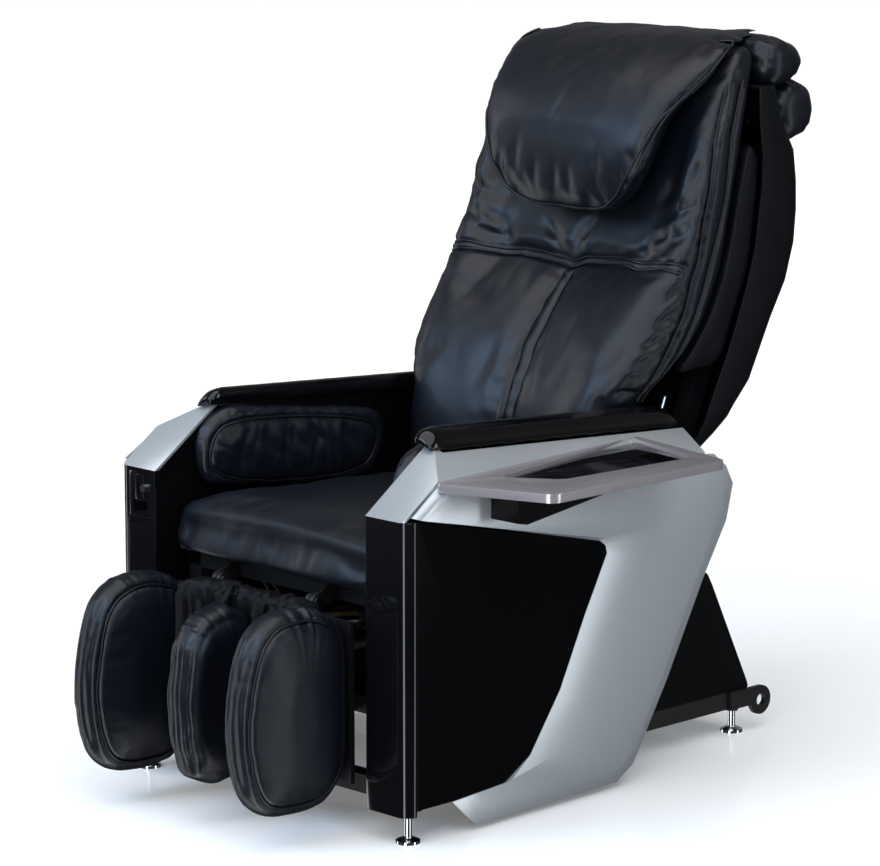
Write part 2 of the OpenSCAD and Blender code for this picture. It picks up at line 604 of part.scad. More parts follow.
// Backrest: tables along its height, as shares of the height and of the size named in each function
back_z0 = 415;
back_y0 = 92;
side_line_shares = [[0, 0], [0.10, 0.016], [0.187, 0.043], [0.26, 0.125], [0.341, 0.313], [0.421, 0.485],
  [0.515, 0.594], [0.611, 0.654], [0.74, 0.73], [0.872, 0.828], [0.94, 0.90], [1, 1]];
crown_shares = [[0, 0.42], [0.188, 0.41], [0.289, 0.61], [0.341, 0.87], [0.385, 1], [0.451, 0.83], [0.515, 0.45],
  [0.57, 0.27], [0.63, 0.15], [0.75, 0.18], [0.87, 0.22], [0.95, 0.20], [1, 0.10]];
wing_shares = [[0, 0.42], [0.20, 0.62], [0.27, 0.86], [0.341, 1.08], [0.421, 1.24], [0.515, 1.08], [0.611, 0.80],
  [0.74, 0.62], [0.872, 0.30], [0.95, 0.24], [1, 0.10]];
width_shares = [[0, 0.80], [0.03, 0.835], [0.248, 0.845], [0.28, 0.93], [0.32, 0.985], [0.40, 1], [0.75, 1],
  [0.87, 0.97], [0.95, 0.935], [0.985, 0.90], [1, 0.84]];
thick_shares = [[0, 0.55], [0.02, 0.86], [0.06, 1], [0.94, 1], [0.985, 0.86], [1, 0.60]];
function side_y(u) = back_y0 + back_rake * lookup(u, side_line_shares);
function back_half(u) = back_w / 2 * lookup(u, width_shares);
back_levels = [0, 0.012, 0.04, 0.10, 0.17, 0.235, 0.265, 0.30, 0.35, 0.41, 0.465, 0.500, 0.515, 0.530, 0.57,
  0.63, 0.71, 0.79, 0.87, 0.93, 0.965, 0.988, 1];
seam_share = 0.515;
seam_deep = 9;
seam_half_share = 0.03;
// How far out the wing's crown takes over from the middle's, from 0 to 1
wing_start_shares = [[0, 0.30], [0.50, 0.35], [0.62, 0.70], [1, 0.70]];
wing_end_share = 0.93;
function wing(s, u) = let (a = lookup(u, wing_start_shares), t = max(0, min(1, (abs(s) - a) / (wing_end_share - a))))
  t * t * (3 - 2 * t);
function back_ring(u) =
  let (w = back_half(u), t = back_t * lookup(u, thick_shares), end = lookup(u, thick_shares),
       cross = seam_deep * exp(-pow((u - seam_share) / 0.009, 2)),
       middle_seam = u < seam_share ? seam_deep : 0)
  [for (q = super_ring(40, 1, 1, 7))
    let (f = max(0, -q[1]), s = q[0] * (1 - 0.12 * f * (1 - abs(q[0]))),
         bulge = back_crown * lerp(lookup(u, crown_shares), lookup(u, wing_shares), wing(s, u)))
    [s * w, side_y(u) + max(0, q[1]) * t
      - f * (bulge * end - cross * (abs(q[0]) < 0.93 ? 1 : 0) - middle_seam * exp(-pow(s / seam_half_share, 2))),
     back_z0 + u * back_h]];
module back_cushion() at_frame() color(leather_c) loft([for (u = back_levels) back_ring(u)]);

// Moulded shell of the backrest, as shares of its height and of its run from front to rear
shell_z0 = 430;
shell_h = 668;
shell_y0 = 250;
shell_run = 265;
shell_rim_shares = [[0, 0], [0.06, 0.019], [0.165, 0.083], [0.244, 0.159], [0.385, 0.340], [0.576, 0.535],
  [0.772, 0.610], [0.948, 0.60], [1, 0.6251]];
shell_rear_shares = [[0, 0.136], [0.075, 0.20], [0.151, 0.302], [0.22, 0.445], [0.275, 0.574], [0.419, 0.762],
  [0.513, 0.906], [0.606, 0.981], [0.689, 1], [0.76, 0.995], [0.837, 0.966], [0.915, 0.868], [1, 0.823]];
shell_width_shares = [[0, 0.85], [0.10, 0.85], [0.17, 0.985], [0.30, 1], [0.85, 1], [1, 0.95]];
shell_levels = [0, 0.075, 0.11, 0.151, 0.19, 0.22, 0.275, 0.35, 0.419, 0.513, 0.606, 0.689, 0.76, 0.837, 0.915, 1];
shell_half = back_w / 2 + back_shell_wall;
shell_corner = 36;
function shell_rim_y(u) = shell_y0 + shell_run * lookup(u, shell_rim_shares);
function shell_rear_y(u) = shell_y0 + shell_run * lookup(u, shell_rear_shares);
function bend(s, c, e, n) = [for (k = [0:n]) let (t = k / n)
  s * (1 - t) * (1 - t) + c * 2 * t * (1 - t) + e * t * t];
function u_line(w, y0, y1, r) = concat(
  [[w, y0]], bend([w, y1 - r], [w, y1], [w - r, y1], 4), bend([r - w, y1], [-w, y1], [-w, y1 - r], 4), [[-w, y0]]);
// Ring of the shell at a share of its height, d inside its outer face and open past its rim by over
function shell_ring(u, d, over) =
  let (w = shell_half * lookup(u, shell_width_shares), y0 = shell_rim_y(u), y1 = shell_rear_y(u),
       r = min(shell_corner, (y1 - y0) * 0.6))
  [for (q = u_line(w - d, y0 - over, y1 - d, r - d)) [q[0], q[1], shell_z0 + u * shell_h]];
module back_shell() at_frame() color(gloss_c) difference() {
  t = back_shell_wall;
  n = len(shell_levels);
  loft([for (u = shell_levels) shell_ring(u, 0, 0)]);
  loft(concat([[for (q = shell_ring(0, t, cut)) q - [0, 0, cut]]],
    [for (i = [1:n - 2]) shell_ring(shell_levels[i], t, cut)], [shell_ring(1 - t / shell_h, t, cut)]));
}

// Padded sides between the cushion and the shell's rim
side_pad_levels = [0.30, 0.35, 0.41, 0.465, 0.53, 0.57, 0.63, 0.71, 0.79];
side_pad_t = 32;
module back_side_pads() at_frame() color(leather_c) {
  front = [for (u = side_pad_levels) [side_y(u) + back_t - seat_gap, back_z0 + u * back_h]];
  rear = [for (u = side_pad_levels) let (z = back_z0 + u * back_h)
    [shell_rim_y((z - shell_z0) / shell_h) - seat_gap, z]];
  outline = rounded(concat(rear, reversed(front)), side_pad_t / 2, 1);
  for (side = [1, -1]) mirrored(side)
    pad(outline, back_w / 2 - side_pad_t, side_pad_t, side_share);
}
side_share = [[0, 0.97], [0.55, 1], [0.85, 0.97], [1, 0.86]];

// Rolls of upholstery behind the top of the back
roll_share = [[-1, 0.55], [-0.965, 0.80], [-0.90, 0.95], [-0.55, 1], [0, 1], [0.55, 1], [0.90, 0.95],
  [0.965, 0.80], [1, 0.55]];
module cross_roll(outline, half) {
  m = middle(outline);
  loft([for (s = roll_share) in_yz(s[0] * half, [for (q = outline) m + (q - m) * s[1]])]);
}
roll_y0 = 442;
roll_z0 = shell_z0 + shell_h + seat_gap;
roll_run = 101;
roll_h = 72;
roll_half = 246;
roll_shares = [[0, 0], [0.50, 0], [0.84, 0.14], [1, 0.48], [0.88, 0.80], [0.55, 0.94], [0, 1]];
module top_roll() at_frame() color(leather_c)
  cross_roll(rounded([for (s = roll_shares) [roll_y0 + s[0] * roll_run, roll_z0 + s[1] * roll_h]],
    roll_h / 4, 2), roll_half);
bolster_y = 531;
bolster_z = 1050.5;
bolster_ry = 48.95;
bolster_rz = 47;
bolster_half = 238;
module rear_bolster() at_frame() color(leather_c)
  cross_roll([for (q = super_ring(18, bolster_ry, bolster_rz, 2.2)) q + [bolster_y, bolster_z]], bolster_half);

// Head pillow, draped from the front of the back over its top: share of its width, the places of its
// front and rear faces as shares of its run and rise, how far back its side edge lies, and its droop
pillow_y0 = 205;
pillow_z0 = 888;
pillow_run = 298;
pillow_rise = 302;
pillow_stations = [
  [0.16, [0.007, 0.000], [0.023, 0.002], 0.3, 0], [0.34, [0.000, 0.007], [0.104, 0.010], 0.1, 0],
  [0.46, [0.000, 0.030], [0.178, 0.033], 0.05, 0], [0.55, [0.000, 0.070], [0.232, 0.073], 0, 0],
  [0.635, [0.000, 0.132], [0.268, 0.139], 0, 0], [0.715, [0.000, 0.228], [0.302, 0.238], 0, 0],
  [0.78, [0.007, 0.351], [0.329, 0.364], 0.08, 0], [0.835, [0.034, 0.503], [0.362, 0.517], 0.22, 0],
  [0.9, [0.104, 0.656], [0.426, 0.675], 0.4, 0.1], [0.965, [0.211, 0.788], [0.500, 0.795], 0.56, 0.35],
  [1, [0.349, 0.884], [0.570, 0.897], 0.6, 0.45], [0.975, [0.493, 0.944], [0.634, 0.939], 0.55, 0.35],
  [0.91, [0.668, 0.960], [0.727, 0.929], 0.5, 0.2], [0.86, [0.839, 0.960], [0.849, 0.932], 0.5, -0.1],
  [0.8, [0.960, 0.960], [0.960, 0.929], 0.5, -0.5], [0.785, [1.000, 0.957], [1.000, 0.944], 0.5, -0.6]];
// Fall of the pillow's top towards its sides where it droops most
pillow_arch = 20;
function pillow_pt(s) = [0, pillow_y0 + s[0] * pillow_run, pillow_z0 + s[1] * pillow_rise];
module head_pillow() at_frame() color(leather_c)
  loft([for (s = pillow_stations)
    let (f = pillow_pt(s[1]), r = pillow_pt(s[2]), w = pillow_w / 2 * s[0])
    [for (q = super_ring(24, w, 1, 2.8))
      f + [q[0], 0, -pillow_arch * s[4] * pow(q[0] / w, 2)]
        + (r - f) * (s[3] + q[1] * (q[1] < 0 ? s[3] : 1 - s[3]))]]);

// Straight guide line of the massage drive, and the steel back frame round it
rail_y0 = 315;
rail_z0 = 600;
rail_tilt = 23;
module on_rail() translate([0, rail_y0, rail_z0]) rotate([-rail_tilt, 0, 0]) children();
// Place of a point of the chair's YZ plane along the guide line: behind it, and up it
function rail_pt(p) = let (d = p - [rail_y0, rail_z0])
  [d[0] * cos(rail_tilt) - d[1] * sin(rail_tilt), d[0] * sin(rail_tilt) + d[1] * cos(rail_tilt)];
back_pivot = [120, 380];
frame_lo = -240;
frame_hi = 425;
rail_x = 150;
back_bar_x = 220;
ear_t = 8;
ear_r = 24;
lever_x = -45;
lever_pin_r = 7;
lever_pin = [127, 275];
lever_t = 6;
eye_w = 16;
lever_r = 18;
eye_play = 2.9;
// A flat link from point a, with round end of radius r, to a straight edge b to c
function link_pts(a, r, b, c) = let (n = left_of(unit((b + c) / 2 - a))) [a + n * r, a - n * r, b, c];
shell_arm_w = 290;
module back_frame() at_frame() color(steel_c) {
  h = tube / 2;
  p = rail_pt(back_pivot);
  q = rail_pt(lever_pin);
  on_rail() {
    for (side = [1, -1]) mirrored(side) {
      tube_box([back_bar_x - tube, -h, frame_lo], [back_bar_x, h, frame_hi], 2);
      // Hinge ear
      difference() {
        union() {
          yz_plate(link_pts(p, ear_r, [h, frame_lo], [-h, frame_lo + 4 * tube]), back_bar_x - tube + tube_wall, ear_t);
          x_rod(ear_r, back_bar_x - tube + tube_wall, back_bar_x - tube + tube_wall + ear_t, p[0], p[1]);
        }
        x_rod(back_pin_r + run_gap, back_bar_x - tube, back_bar_x, p[0], p[1]);
      }
    }
    difference() {
      union() {
        box([tube - back_bar_x, -h, frame_lo], [back_bar_x - tube, h, frame_lo + tube]);
        box([tube - back_bar_x, -h, frame_hi - tube], [back_bar_x - tube, h, frame_hi]);
      }
      for (x = [-rail_x, rail_x]) translate([x, 0, frame_lo - cut]) cylinder(r = rail_r, h = frame_hi - frame_lo + cut + cut);
      translate([0, 0, frame_lo - cut]) cylinder(r = screw_r + run_gap, h = frame_hi - frame_lo + cut + cut);
    }
    // Arms that hold the shell
    for (side = [1, -1]) mirrored(side)
      box([back_bar_x, -h, shell_arm_w], [shell_half - back_shell_wall - seat_gap, h / 2, shell_arm_w + tube]);
    // Twin lever with the actuator's pin
    for (s = [-1, 1]) translate([lever_x + s * (eye_w + lever_t + cover_gap * 2) / 2, 0, 0]) {
      yz_plate(link_pts(q, lever_r, [h, frame_lo + tube / 2], [-h, frame_lo + tube]), -lever_t / 2, lever_t);
      x_rod(lever_r, -lever_t / 2, lever_t / 2, q[0], q[1]);
    }
    x_rod(lever_pin_r, lever_x - eye_w / 2 - lever_t, lever_x + eye_w / 2 + lever_t, q[0], q[1]);
  }
}
module guide_rods() at_frame() color(chrome_c) on_rail()
  for (x = [-rail_x, rail_x]) translate([x, 0, frame_lo]) cylinder(r = rail_r, h = frame_hi - frame_lo);
collar_t = 6;
module lift_screw() at_frame() color(chrome_c) on_rail() {
  translate([0, 0, frame_lo]) cylinder(r = screw_r, h = frame_hi - frame_lo);
  for (z = [frame_lo + tube + gear_h + cover_gap, frame_hi - tube - collar_t - seat_gap])
    translate([0, 0, z]) cylinder(r = screw_r + collar_t / 2, h = collar_t);
}
gear_h = 30;
motor_r = 26;
motor_len = 90;
motor_x = 80;
module lift_motor() at_frame() color(steel_c) on_rail() {
  z0 = frame_lo + tube;
  difference() {
    box([-2 * tube_wall - collar_t * 2, -gear_h / 2, z0], [motor_x + motor_r, gear_h / 2, z0 + gear_h]);
    translate([0, 0, z0 - cut]) cylinder(r = screw_r + cover_gap, h = gear_h + cut + cut);
  }
  translate([motor_x, 0, z0 + gear_h]) cylinder(r = motor_r, h = motor_len);
}

// Carriage that climbs the guide rods, and its kneading arms and rollers
carriage_lo = -20;
carriage_h = 80;
carriage_t = 10;
block_w = 40;
tap_v = -28;
tap_w = carriage_lo + carriage_h / 2;
tap_r = 6;
tap_x = 80;
roller_step = 6;
roller_v = tap_v - roller_step;
roller_dw = 42;
axle_r = 5;
arm_t = 8;
nut_r = 18;
module carriage() at_frame() color(steel_c) on_rail() {
  t = carriage_t;
  difference() {
    union() {
      for (x = [-rail_x, rail_x])
        box([x - block_w / 2, -t - tube_wall, carriage_lo], [x + block_w / 2, t + tube_wall, carriage_lo + carriage_h]);
      box([-rail_x, -t, tap_w - t], [rail_x, t, tap_w + t]);
      translate([0, 0, tap_w - carriage_h / 4]) cylinder(r = nut_r, h = carriage_h / 2);
    }
    for (x = [-rail_x, rail_x])
      translate([x, 0, carriage_lo - cut]) cylinder(r = rail_r + run_gap, h = carriage_h + cut + cut);
    translate([0, 0, tap_w - carriage_h]) cylinder(r = screw_r + 2 * run_gap, h = carriage_h * 2);
  }
  // Cheeks and shaft that carry the kneading arms
  for (side = [1, -1]) mirrored(side) {
    box([tap_x, tap_v, tap_w - t], [tap_x + arm_t, -t, tap_w + t]);
    x_rod(t, tap_x, tap_x + arm_t, tap_v, tap_w);
  }
  x_rod(tap_r, -tap_x - arm_t, tap_x + arm_t, tap_v, tap_w);
}
arm_x = roller_gap / 2 - roller_w / 2 - cover_gap - arm_t;
module massage_arm(side) at_frame() mirrored(side) color(steel_c) on_rail() {
  difference() {
    union() {
      x_rod(tap_r * 2, arm_x - arm_t / 2, arm_x + arm_t, tap_v, tap_w);
      for (s = [-1, 1])
        yz_plate(
          link_outline([tap_v, tap_w], tap_r * 1.6, [roller_v, tap_w + s * roller_dw], axle_r + arm_t / 2), arm_x, arm_t);
      for (s = [-1, 1]) x_rod(axle_r + arm_t / 2, arm_x, arm_x + arm_t, roller_v, tap_w + s * roller_dw);
    }
    x_rod(tap_r + run_gap, arm_x - arm_t, arm_x + arm_t + cut, tap_v, tap_w);
  }
  // Axles of the two rollers
  for (s = [-1, 1]) x_rod(axle_r, arm_x, arm_x + arm_t + roller_w + 2 * cover_gap + tube_wall, roller_v, tap_w + s * roller_dw);
}
function link_outline(a, ra, b, rb) = let (n = left_of(unit(b - a))) [a + n * ra, a - n * ra, b - n * rb, b + n * rb];
// One roller, with its rubber tyre grooved round the middle; up is 1 or -1
module roller(side, up) at_frame() mirrored(side) color("dimgray") on_rail()
  translate([roller_gap / 2, roller_v, tap_w + up * roller_dw]) rotate([0, 90, 0]) difference() {
    translate([0, 0, -roller_w / 2]) cylinder(r = roller_r, h = roller_w);
    translate([0, 0, -roller_w]) cylinder(r = axle_r + run_gap, h = 2 * roller_w);
    for (s = [-1, 1]) rotate_extrude() polygon([
      [roller_r - plate_t, s * roller_w / 2 + s * cut], [roller_r + cut, s * roller_w / 2 + s * cut],
      [roller_r + cut, s * (roller_w / 2 - plate_t)]]);
  }

// Calf rest
calf_pivot = [-452, 348];
calf_z0 = 47;
calf_h = 323;
calf_back_y = -466;
calf_d = calf_back_y - calf_front;
calf_wall_shares = [[0.33, 0], [0.80, 0], [0.998, 0.16], [0.998, 0.80], [0.92, 0.93], [0.66, 1], [0.36, 1],
  [0.14, 0.91], [0.03, 0.64], [0, 0.42], [0.05, 0.20], [0.15, 0.06]];
module calf_wall(side) at_frame() mirrored(side) color(leather_c)
  pad(rounded([for (s = calf_wall_shares) [calf_front + s[0] * calf_d - seat_gap, calf_z0 + s[1] * calf_h]],
    tube, 2), calf_w / 2 - calf_wall_t, calf_wall_t, slab_share);
divider_shares = [[0.36, 0.04], [0.62, 0.02], [0.80, 0.10], [0.8587, 0.5], [0.8587, 0.80], [0.74, 0.92], [0.50, 0.93],
  [0.28, 0.84], [0.20, 0.60], [0.19, 0.36], [0.24, 0.15]];
module calf_divider() at_frame() color(leather_c)
  pad(rounded([for (s = divider_shares) [calf_front + s[0] * calf_d, calf_z0 + s[1] * calf_h]], tube, 1),
    -calf_divider_t / 2, calf_divider_t, slab_share);
// Padded back of the two leg channels, hollowed for the calves
calf_pad_half = calf_w / 2 - calf_wall_t - seat_gap;
channel_x = (calf_pad_half + calf_divider_t / 2) / 2;
channel_reach = calf_pad_half - channel_x;
channel_deep = 34;
pad_front_y = calf_front + 0.855 * calf_d;
calf_pad_stations = [[0.05, 0.70, 0.95], [0.065, 0.88, 0.99], [0.10, 0.98, 1], [0.35, 1, 1], [0.65, 1, 1],
  [0.86, 0.98, 1], [0.925, 0.86, 0.99], [0.95, 0.66, 0.95]];
// Places across a channel, from its outer ridge to its inner one
channel_shares = [1, 0.83, 0.55, 0.2, -0.2, -0.55, -0.86];
// Front of the pad from the right wall to the middle, then its flat strip behind the divider
half_front = concat(
  [for (c = channel_shares) [-channel_x - c * channel_reach, pad_front_y - channel_deep * c * c]],
  [[cover_gap - calf_divider_t / 2, pad_front_y]]);
pad_front = concat(half_front, [[0, pad_front_y]], reversed([for (q = half_front) [-q[0], q[1]]]));
// Triangles across the pad: its two back corners are points 17 and 18
half_pad_cap = [[18, 0, 1], [18, 1, 2], [18, 2, 3], [18, 3, 4], [18, 4, 5], [5, 6, 7], [18, 5, 7], [18, 7, 8]];
pad_cap = concat(half_pad_cap, [[18, 8, 17]],
  [for (t = half_pad_cap) [for (i = [2:-1:0]) t[i] == 18 ? 17 : 16 - t[i]]]);
function calf_pad_ring(s) = let (z = calf_z0 + s[0] * calf_h, back = calf_back_y - seat_gap)
  [for (q = concat(pad_front, [[calf_pad_half, back], [-calf_pad_half, back]]))
    [q[0] * s[2], back + (q[1] - back) * s[1], z]];
module calf_pad() at_frame() color(leather_c) loft([for (s = calf_pad_stations) calf_pad_ring(s)], pad_cap);
calf_board_t = 8;
calf_ear_x = 100;
calf_ear_r = 13;
calf_lever_pin = [-434, 308];
calf_lever_x = 60;
module calf_frame() at_frame() color(steel_c) {
  y1 = calf_back_y + calf_board_t;
  bar = tube * 2 / 3;
  box([-calf_w / 2 + tube / 3, calf_back_y, calf_z0 + tube], [calf_w / 2 - tube / 3, y1, calf_pivot[1] - tube / 2]);
  for (side = [1, -1]) mirrored(side) {
    box([calf_ear_x - bar / 2, y1, calf_z0 + 2 * tube], [calf_ear_x + bar / 2, y1 + bar / 2, calf_lever_pin[1] - tube]);
    difference() {
      union() {
        yz_plate(link_pts(calf_pivot, calf_ear_r, [y1 - cut, calf_lever_pin[1] - tube], [y1 + bar / 2, calf_lever_pin[1] - tube]),
          calf_ear_x, ear_t);
        x_rod(calf_ear_r, calf_ear_x, calf_ear_x + ear_t, calf_pivot[0], calf_pivot[1]);
      }
      x_rod(calf_pin_r + run_gap, calf_ear_x - cut, calf_ear_x + ear_t + cut, calf_pivot[0], calf_pivot[1]);
    }
  }
  // Twin lever with the actuator's pin
  for (s = [-1, 1]) translate([calf_lever_x + s * (eye_w + lever_t + cover_gap * 2) / 2, 0, 0]) {
    yz_plate([[y1 - cut, calf_lever_pin[1] - tube], calf_lever_pin + [0, -lever_pin_r - lever_t], calf_lever_pin + [0, lever_pin_r + lever_t],
      [y1 - cut, calf_pivot[1] - tube / 2]], -lever_t / 2, lever_t);
    x_rod(lever_pin_r + lever_t, -lever_t / 2, lever_t / 2, calf_lever_pin[0], calf_lever_pin[1]);
  }
  x_rod(lever_pin_r, calf_lever_x - eye_w / 2 - lever_t, calf_lever_x + eye_w / 2 + lever_t, calf_lever_pin[0], calf_lever_pin[1]);
}

// Steel base
base_z = 45;
rail_out = pod_in - 10;
base_front_y = -410;
base_rear_y = 430;
post_y = back_pivot[0] - tube / 2;
mid_cross_y = -75;
rear_cross_y = 300;
seat_frame_z = seat_board_z - tube;
stub_front_y = -352;
stub_rear_y = -42;
frame_stubs = [[stub_front_y, base_z], [stub_rear_y, base_z], [stub_front_y, seat_frame_z], [stub_rear_y, seat_frame_z]];
lug_pivot = [457, 50];
lug_root_y = 380;
clevis_t = 6;
back_actuator = [-330, 262];
calf_actuator = [-60, 260];
module base_frame() at_frame() color(steel_c) {
  x0 = rail_out - tube;
  z1 = base_z + tube;
  for (side = [1, -1]) mirrored(side) {
    difference() {
      tube_box([x0, base_front_y, base_z], [rail_out, base_rear_y, z1], 1);
      translate([rail_out - tube / 2, rear_foot_y, 0]) cylinder(r = foot_stem_r + run_gap, h = base_z + tube / 2);
    }
    tube_box([x0, base_front_y, z1], [rail_out, base_front_y + tube, seat_frame_z], 2);
    difference() {
      tube_box([x0, post_y, z1], [rail_out, post_y + tube, back_pivot[1] + 2 * back_pin_r], 2);
      x_rod(back_pin_r + run_gap, x0 - cut, rail_out + cut, back_pivot[0], back_pivot[1]);
    }
    for (y = [stub_front_y, stub_rear_y])
      tube_box([rail_out, y, base_z], [pod_in + panel_wall, y + tube, z1], 0);
    // Anchor lug at the rear end
    difference() {
      union() {
        box([rail_out, lug_root_y, base_z], [rail_out + lug_t, lug_pivot[0], lug_pivot[1] + lug_r]);
        x_rod(lug_r, rail_out, rail_out + lug_t, lug_pivot[0], lug_pivot[1]);
      }
      x_rod(lug_hole_r, rail_out - cut, rail_out + lug_t + cut, lug_pivot[0], lug_pivot[1]);
    }
  }
  for (y = [base_front_y, mid_cross_y, rear_cross_y, base_rear_y - tube])
    tube_box([-x0, y, base_z], [x0, y + tube, z1], 0);
  clevis(calf_lever_x, calf_actuator, [mid_cross_y + tube, z1], [mid_cross_y, z1]);
}
// Two plates with a pin between them, standing on the edge from b to c
module clevis(x, a, b, c) {
  for (s = [-1, 1]) translate([x + s * (eye_w + clevis_t + cover_gap * 2) / 2, 0, 0]) {
    yz_plate(link_pts(a, lever_pin_r + clevis_t, c, b), -clevis_t / 2, clevis_t);
    x_rod(lever_pin_r + clevis_t, -clevis_t / 2, clevis_t / 2, a[0], a[1]);
  }
  x_rod(lever_pin_r, x - eye_w / 2 - clevis_t, x + eye_w / 2 + clevis_t, a[0], a[1]);
}
module seat_frame() at_frame() color(steel_c) {
  x0 = rail_out - tube;
  z0 = seat_frame_z;
  z1 = z0 + tube;
  bracket_x = calf_ear_x + ear_t + tube_wall;
  for (side = [1, -1]) mirrored(side) {
    tube_box([x0, base_front_y, z0], [rail_out, post_y, z1], 1);
    for (y = [stub_front_y, stub_rear_y])
      tube_box([rail_out, y, z0], [pod_in + panel_wall, y + tube, z1], 0);
    // Bracket for the calf rest's hinge
    difference() {
      union() {
        yz_plate(link_pts(calf_pivot, calf_ear_r, [base_front_y, z0], [base_front_y, z1]), bracket_x, ear_t);
        x_rod(calf_ear_r, bracket_x, bracket_x + ear_t, calf_pivot[0], calf_pivot[1]);
      }
      x_rod(calf_pin_r + run_gap, bracket_x - cut, bracket_x + ear_t + cut, calf_pivot[0], calf_pivot[1]);
    }
  }
  for (y = [base_front_y, seat_back_y - 2 * tube])
    tube_box([-x0, y, z0], [x0, y + tube, z1], 0);
  clevis(lever_x, back_actuator, [base_front_y, z0], [base_front_y + tube, z0]);
}
module hinge_pins() at_frame() color(chrome_c) for (side = [1, -1]) mirrored(side) {
  x_rod(back_pin_r, back_bar_x - tube, rail_out, back_pivot[0], back_pivot[1]);
  x_rod(calf_pin_r, calf_ear_x - tube_wall, calf_ear_x + 2 * ear_t + 2 * tube_wall, calf_pivot[0], calf_pivot[1]);
}

// Frames inside the pods
foot_x = 305;
foot_y = -441;
rear_foot_y = 408;
foot_plate = 6;
pod_frame_z = 50;
pod_frame_top = 495;
pod_frame_back_y = 160;
module pod_frames() at_frame() color(steel_c) for (side = [1, -1]) mirrored(side) {
  x0 = pod_in + panel_wall;
  x1 = x0 + pod_tube;
  y0 = foot_y - tube / 2;
  tube_box([x0, y0, pod_frame_z], [x1, stub_rear_y + tube, pod_frame_z + pod_tube], 1);
  for (y = [stub_front_y, stub_rear_y])
    tube_box([x0, y, pod_frame_z + pod_tube], [x1, y + pod_tube, pod_frame_top - pod_tube], 2);
  tube_box([x0, stub_front_y, pod_frame_top - pod_tube], [x1, pod_frame_back_y, pod_frame_top], 1);
  difference() {
    box([x1, y0, pod_frame_z], [foot_x + tube / 2, y0 + tube, pod_frame_z + foot_plate]);
    translate([foot_x, foot_y, 0]) cylinder(r = foot_stem_r + run_gap, h = base_z + tube);
  }
}
foot_stem_r = 6;
foot_pad_r = 19;
foot_pad_h = 9;
foot_nut_h = 8;
module foot(x, y, z) translate([x, y, 0]) {
  cylinder(r = foot_pad_r, h = foot_pad_h / 2);
  translate([0, 0, foot_pad_h / 2]) cylinder(r1 = foot_pad_r, r2 = foot_pad_r / 2, h = foot_pad_h / 2);
  cylinder(r = foot_stem_r, h = z + foot_plate);
  translate([0, 0, z - foot_nut_h]) cylinder(r = foot_stem_r * 2, h = foot_nut_h, $fn = 6);
}
module levelling_feet() at_frame() color(chrome_c) for (side = [1, -1]) mirrored(side) {
  foot(foot_x, foot_y, pod_frame_z);
  foot(rail_out - tube / 2, rear_foot_y, base_z);
}

// Rear cover of the base, and what it hides
cover_z0 = base_z + tube;
cover_run = 296;
cover_rise = 221;
cover_y0 = post_y + tube + cover_gap;
cover_shares = [[0, 0], [1, 0], [0.99, 0.05], [0.679, 0.873], [0.635, 0.975], [0.58, 1], [0.37, 1], [0, 0.43]];
cover_half = 236;
module rear_cover() at_frame() color(gloss_c) {
  outline = [for (s = cover_shares) [cover_y0 + s[0] * cover_run, cover_z0 + s[1] * cover_rise]];
  difference() {
    yz_plate(rounded(outline, panel_wall, 2), -cover_half, 2 * cover_half);
    yz_plate(inset(outline, panel_wall), panel_wall - cover_half, 2 * (cover_half - panel_wall));
    // Open underside, front and sloping top
    box([panel_wall - cover_half, cover_y0 - cut, cover_z0 - cut],
      [cover_half - panel_wall, cover_y0 + 0.965 * cover_run - 2 * panel_wall, cover_z0 + panel_wall + cut]);
    box([panel_wall - cover_half, cover_y0 - cut, cover_z0 - cut],
      [cover_half - panel_wall, cover_y0 + 0.37 * cover_run, cover_z0 + cover_rise + cut]);
  }
}
unit_step = 8;
inner_y0 = rear_cross_y - unit_step;
supply_x = 70;
supply_w = 110;
supply_d = 78;
supply_h = 58;
vent_w = 6;
vent_h = 30;
vent_pitch = 14;
module power_supply() at_frame() color("gray") {
  difference() {
    box([supply_x, inner_y0, cover_z0], [supply_x + supply_w, inner_y0 + supply_d, cover_z0 + supply_h]);
    for (i = [1:7]) translate([supply_x + i * vent_pitch - vent_w / 2, inner_y0, cover_z0 + vent_pitch])
      translate([0, -cut, 0]) cube([vent_w, 2 * cut, vent_h]);
  }
}
board_x = -190;
board_w = 114;
board_t = 2;
board_leg = 5;
chip_w = 30;
chip_d = 32;
chip_h = 22;
coil_r = 4;
module control_board() at_frame() color("darkgreen") {
  z = cover_z0 + board_leg;
  y1 = inner_y0 + chip_d;
  box([board_x, inner_y0, z], [board_x + board_w, inner_y0 + supply_d, z + board_t]);
  for (x = [board_x + vent_w, board_x + board_w - vent_w]) for (y = [inner_y0 + vent_w, inner_y0 + chip_w])
    translate([x, y, cover_z0]) cylinder(r = board_leg / 2, h = board_leg);
  box([board_x + vent_w, inner_y0 + unit_step, z + board_t], [board_x + vent_w + chip_w, y1, z + chip_h]);
  box([board_x + 2 * chip_w, inner_y0 + unit_step, z + board_t], [board_x + 3 * chip_w, y1, z + chip_h / 2]);
  for (i = [1:3]) translate([board_x + board_w - i * 3 * coil_r, inner_y0 + supply_d - vent_pitch, z + board_t])
    cylinder(r = coil_r, h = vent_h / 2);
}
pump_x = -60;
pump_w = 112;
pump_d = 70;
pump_r = 24;
pump_foot = 8;
module air_pump() at_frame() color("silver") {
  x0 = pump_x + pump_r + cut;
  x1 = pump_x + pump_w - pump_r - cut;
  z = cover_z0 + pump_foot;
  box([pump_x, inner_y0, cover_z0], [pump_x + pump_w, inner_y0 + pump_d, z]);
  for (x = [x0, x1]) y_rod(pump_r, inner_y0 + pump_gap, inner_y0 + pump_d - pump_gap, x, z + pump_r);
  box([x0, inner_y0 + vent_pitch, z], [x1, inner_y0 + pump_d - vent_pitch, z + 3 / 2 * pump_r]);
}
